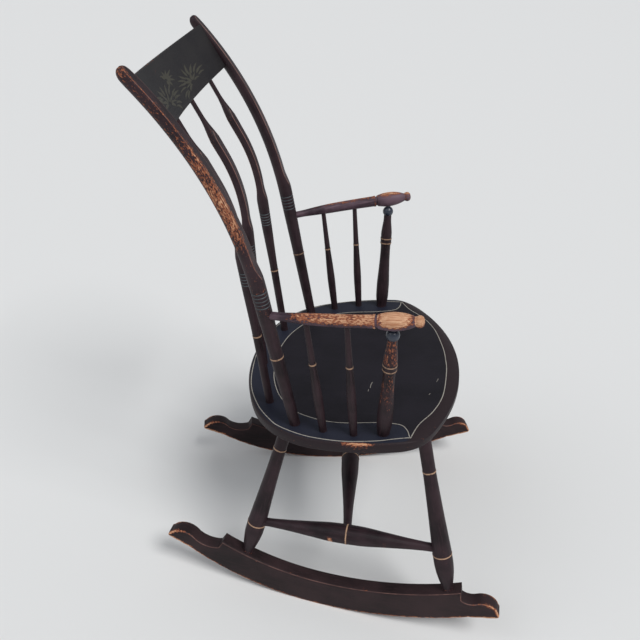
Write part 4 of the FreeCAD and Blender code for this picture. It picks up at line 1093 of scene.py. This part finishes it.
def smooth_line(points, step):
    """Points on a smooth line through a few of them."""
    dense = []
    for i in range(len(points) - 1):
        start = Vector(points[i])
        end = Vector(points[i + 1])
        before = Vector(points[i - 1]) if i else start * 2 - end
        after = Vector(points[i + 2]) if i + 2 < len(points) else end * 2 - start
        count = max(2, round((end - start).length / step))
        for k in range(count):
            t = k / count
            bend = 2 * before - 5 * start + 4 * end - after
            twist = 3 * start - before - 3 * end + after
            dense.append(0.5 * (2 * start + (end - before) * t + bend * t ** 2 + twist * t ** 3))
    dense.append(Vector(points[-1]))
    return dense


def mirrored(points):
    """Both halves of a line that is given from its left end to the middle."""
    return [(-x, y) for x, y in points[:-1]] + points[::-1]


def depth_inside(loop, x, y):
    """Distance from a point to a closed line, above zero where the point is inside."""
    inside = False
    least = 1e9
    for first, second in zip(loop, loop[1:] + loop[:1]):
        if (first.y > y) != (second.y > y):
            if x < first.x + (second.x - first.x) * (y - first.y) / (second.y - first.y):
                inside = not inside
        step = second - first
        share = ((x - first.x) * step.x + (y - first.y) * step.y) / max(1e-9, step.length_squared)
        share = min(1.0, max(0.0, share))
        least = min(least, math.hypot(x - first.x - step.x * share, y - first.y - step.y * share))
    return least if inside else -least


def build_seat():
    outline = seat_outline()
    count = len(outline)
    normals = outward_normals(outline)
    run, rise = SEAT_BEVEL
    field = smooth_line(mirrored(INNER_STRIPE), 9) + smooth_line(mirrored(FRONT_STRIPE), 9)[::-1]
    rear = smooth_line(mirrored(OUTER_STRIPE), 9) + smooth_line(mirrored(FRONT_STRIPE), 9)[::-1]
    points = Points()

    def add_point(spot, depth, wear, tint):
        x, y = spot
        cool = ease(-depth_inside(field, x, y), -1, 2) if tint else 0.0
        warm = ease(-depth_inside(rear, x, y), -1, 2) * ease(-y, 118, 130) if tint else 0.85
        cool = cool * (1 - warm)
        points.add(SEAT @ Vector((x, y, -depth)), (x, -depth, y), worn=wear, cool=0.8 * cool, warm=warm)

    deep = SEAT_THICKNESS
    under = [(run + 60, deep), (run + 1.5, deep), (run - 3, deep - 1.5)]
    under += [(run * (1 - i / 4), deep - rise * i / 4) for i in (1, 2, 3)]
    brink = deep - rise
    under += [(1.6, brink + 0.8), (0.5, brink - 0.6), (0.0, brink - 2)]
    for inset, depth in under:
        for point, normal in zip(outline, normals):
            spot = point - normal * inset
            add_point(spot, depth, 0.15 + 0.3 * hump(inset, 0, 1.5), False)
    insets = [SEAT_ROUND * (1 - math.cos(math.radians(15 * i))) for i in range(7)]
    insets += [8, 11, 14, 18, 22, 27, 32]
    for inset in insets:
        curved = SEAT_ROUND - math.sqrt(SEAT_ROUND ** 2 - (SEAT_ROUND - min(SEAT_ROUND, inset)) ** 2)
        for point, normal in zip(outline, normals):
            spot = point - normal * inset
            depth = max(curved, seat_drop(spot.x, spot.y))
            near = hump(spot.y, -36, 26) * ease(-spot.x, 200, 240)
            wear = 0.1 + 0.3 * hump(inset, 2, 3) + 1.5 * near * hump(inset, 2, 2.2)
            add_point(spot, depth, wear, inset > 3)
    shares = 44
    for i in range(1, shares):
        for point, normal in zip(outline, normals):
            spot = (point - normal * insets[-1]) * (1 - i / shares)
            add_point(spot, seat_drop(spot.x, spot.y), 0.0, True)
    rings = len(points.verts) // count
    piece = new_piece("seat_plank", points, skin(rings, count), SEAT_PAINT, sharp=40)
    settle(piece, "seat")


def build_stripe(name, line, width=1.8, strength=1.0):
    """A painted line along the seat's top."""
    points = Points()
    for i, point in enumerate(line):
        ahead = line[min(i + 1, len(line) - 1)] - line[max(i - 1, 0)]
        normal = Vector((-ahead.y, ahead.x)).normalized()
        for side, height in ((-0.5, -0.3), (-0.42, 0.22), (0.42, 0.22), (0.5, -0.3)):
            spot = point + normal * side * width
            height -= seat_drop(spot.x, spot.y)
            points.add(SEAT @ Vector((spot.x, spot.y, height)), (spot.x, height, spot.y), line=strength)
    piece = new_piece(name, points, skin(len(line), 4), STRIPE_PAINT)
    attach(piece, "root")


# The whole chair
build_seat()
build_stripe("stripe_outer", smooth_line(mirrored(OUTER_STRIPE), 4))
build_stripe("stripe_inner", smooth_line(mirrored(INNER_STRIPE), 4), 1.6)
build_stripe("stripe_front", smooth_line(mirrored(FRONT_STRIPE), 4), 1.6)
for letter, line, width in SCRATCHES:
    build_stripe("scratch_" + letter, [Vector(point) for point in line], width, 0.7)
build_crest()
build_leaves()
for name in SPINDLES:
    build_spindle(name)
for side_name, side in SIDES.items():
    build_rocker(side_name, side)
    build_post(side_name, side)
    build_arm(side_name, side)
    build_arm_post(side_name, side)
    joints = (stretcher_joint("rear", side), stretcher_joint("front", side))
    build_stretcher("side_stretcher_" + side_name, *joints, side)
    for row in LEG_TOPS:
        build_leg(row, side_name, side)
    for row in ARM_SPINDLES:
        build_arm_spindle(row, side_name, side)
build_stretcher("medial_stretcher", stretcher_middle(-1), stretcher_middle(1))


# Floor, light and camera
FLOOR_REACH = 80.0
FLOOR_COLOUR = (0.74, 0.74, 0.73, 1)
SKY_COLOUR = (0.86, 0.88, 0.92, 1)
SKY_LIGHT = 0.44
SKY_SEEN = 0.83


def build_floor():
    mesh = bpy.data.meshes.new("floor")
    signs = ((-1, -1), (1, -1), (1, 1), (-1, 1))
    corners = [(x * FLOOR_REACH, y * FLOOR_REACH, 0) for x, y in signs]
    mesh.from_pydata(corners, [], [(0, 1, 2, 3)])
    floor = new_object("floor", mesh)
    material = bpy.data.materials.new("floor")
    nodes = Nodes(material)
    shader = nodes.add("ShaderNodeBsdfPrincipled", {"Base Color": FLOOR_COLOUR, "Roughness": 0.9})
    link(nodes.tree, shader, nodes.output.inputs["Surface"])
    mesh.materials.append(material)


def build_world():
    """An even sky that gives soft light, and that the camera sees as pale."""
    world = bpy.data.worlds.new("studio")
    bpy.context.scene.world = world
    world.use_nodes = True
    background = world.node_tree.nodes["Background"]
    background.inputs["Color"].default_value = SKY_COLOUR
    rays = world.node_tree.nodes.new("ShaderNodeLightPath")
    strength = world.node_tree.nodes.new("ShaderNodeMapRange")
    strength.inputs["To Min"].default_value = SKY_LIGHT
    strength.inputs["To Max"].default_value = SKY_SEEN
    link(world.node_tree, rays.outputs["Is Camera Ray"], strength.inputs["Value"])
    link(world.node_tree, strength.outputs["Result"], background.inputs["Strength"])


def add_sun(name, direction, strength, spread, tint=(1, 1, 1)):
    data = bpy.data.lights.new(name, "SUN")
    data.energy = strength
    data.angle = math.radians(spread)
    data.color = tint
    sun = new_object(name, data)
    sun.rotation_euler = Vector(direction).to_track_quat("-Z", "Y").to_euler()


def build_camera():
    data = bpy.data.cameras.new("camera")
    data.lens = CAMERA_LENS
    data.sensor_width = 36.0
    camera = new_object("camera", data)
    back = CAMERA_RIGHT.cross(CAMERA_UP)
    camera.matrix_world = axes_at(CAMERA_AT, CAMERA_RIGHT, CAMERA_UP, back)
    bpy.context.scene.camera = camera


build_floor()
build_world()
add_sun("key", (0.5, 0.45, -1.0), 1.9, 24)
add_sun("fill", (0.5, -0.9, -0.9), 0.6, 40, (0.9, 0.95, 1.0))
build_camera()
bpy.context.scene.view_settings.view_transform = "Standard"
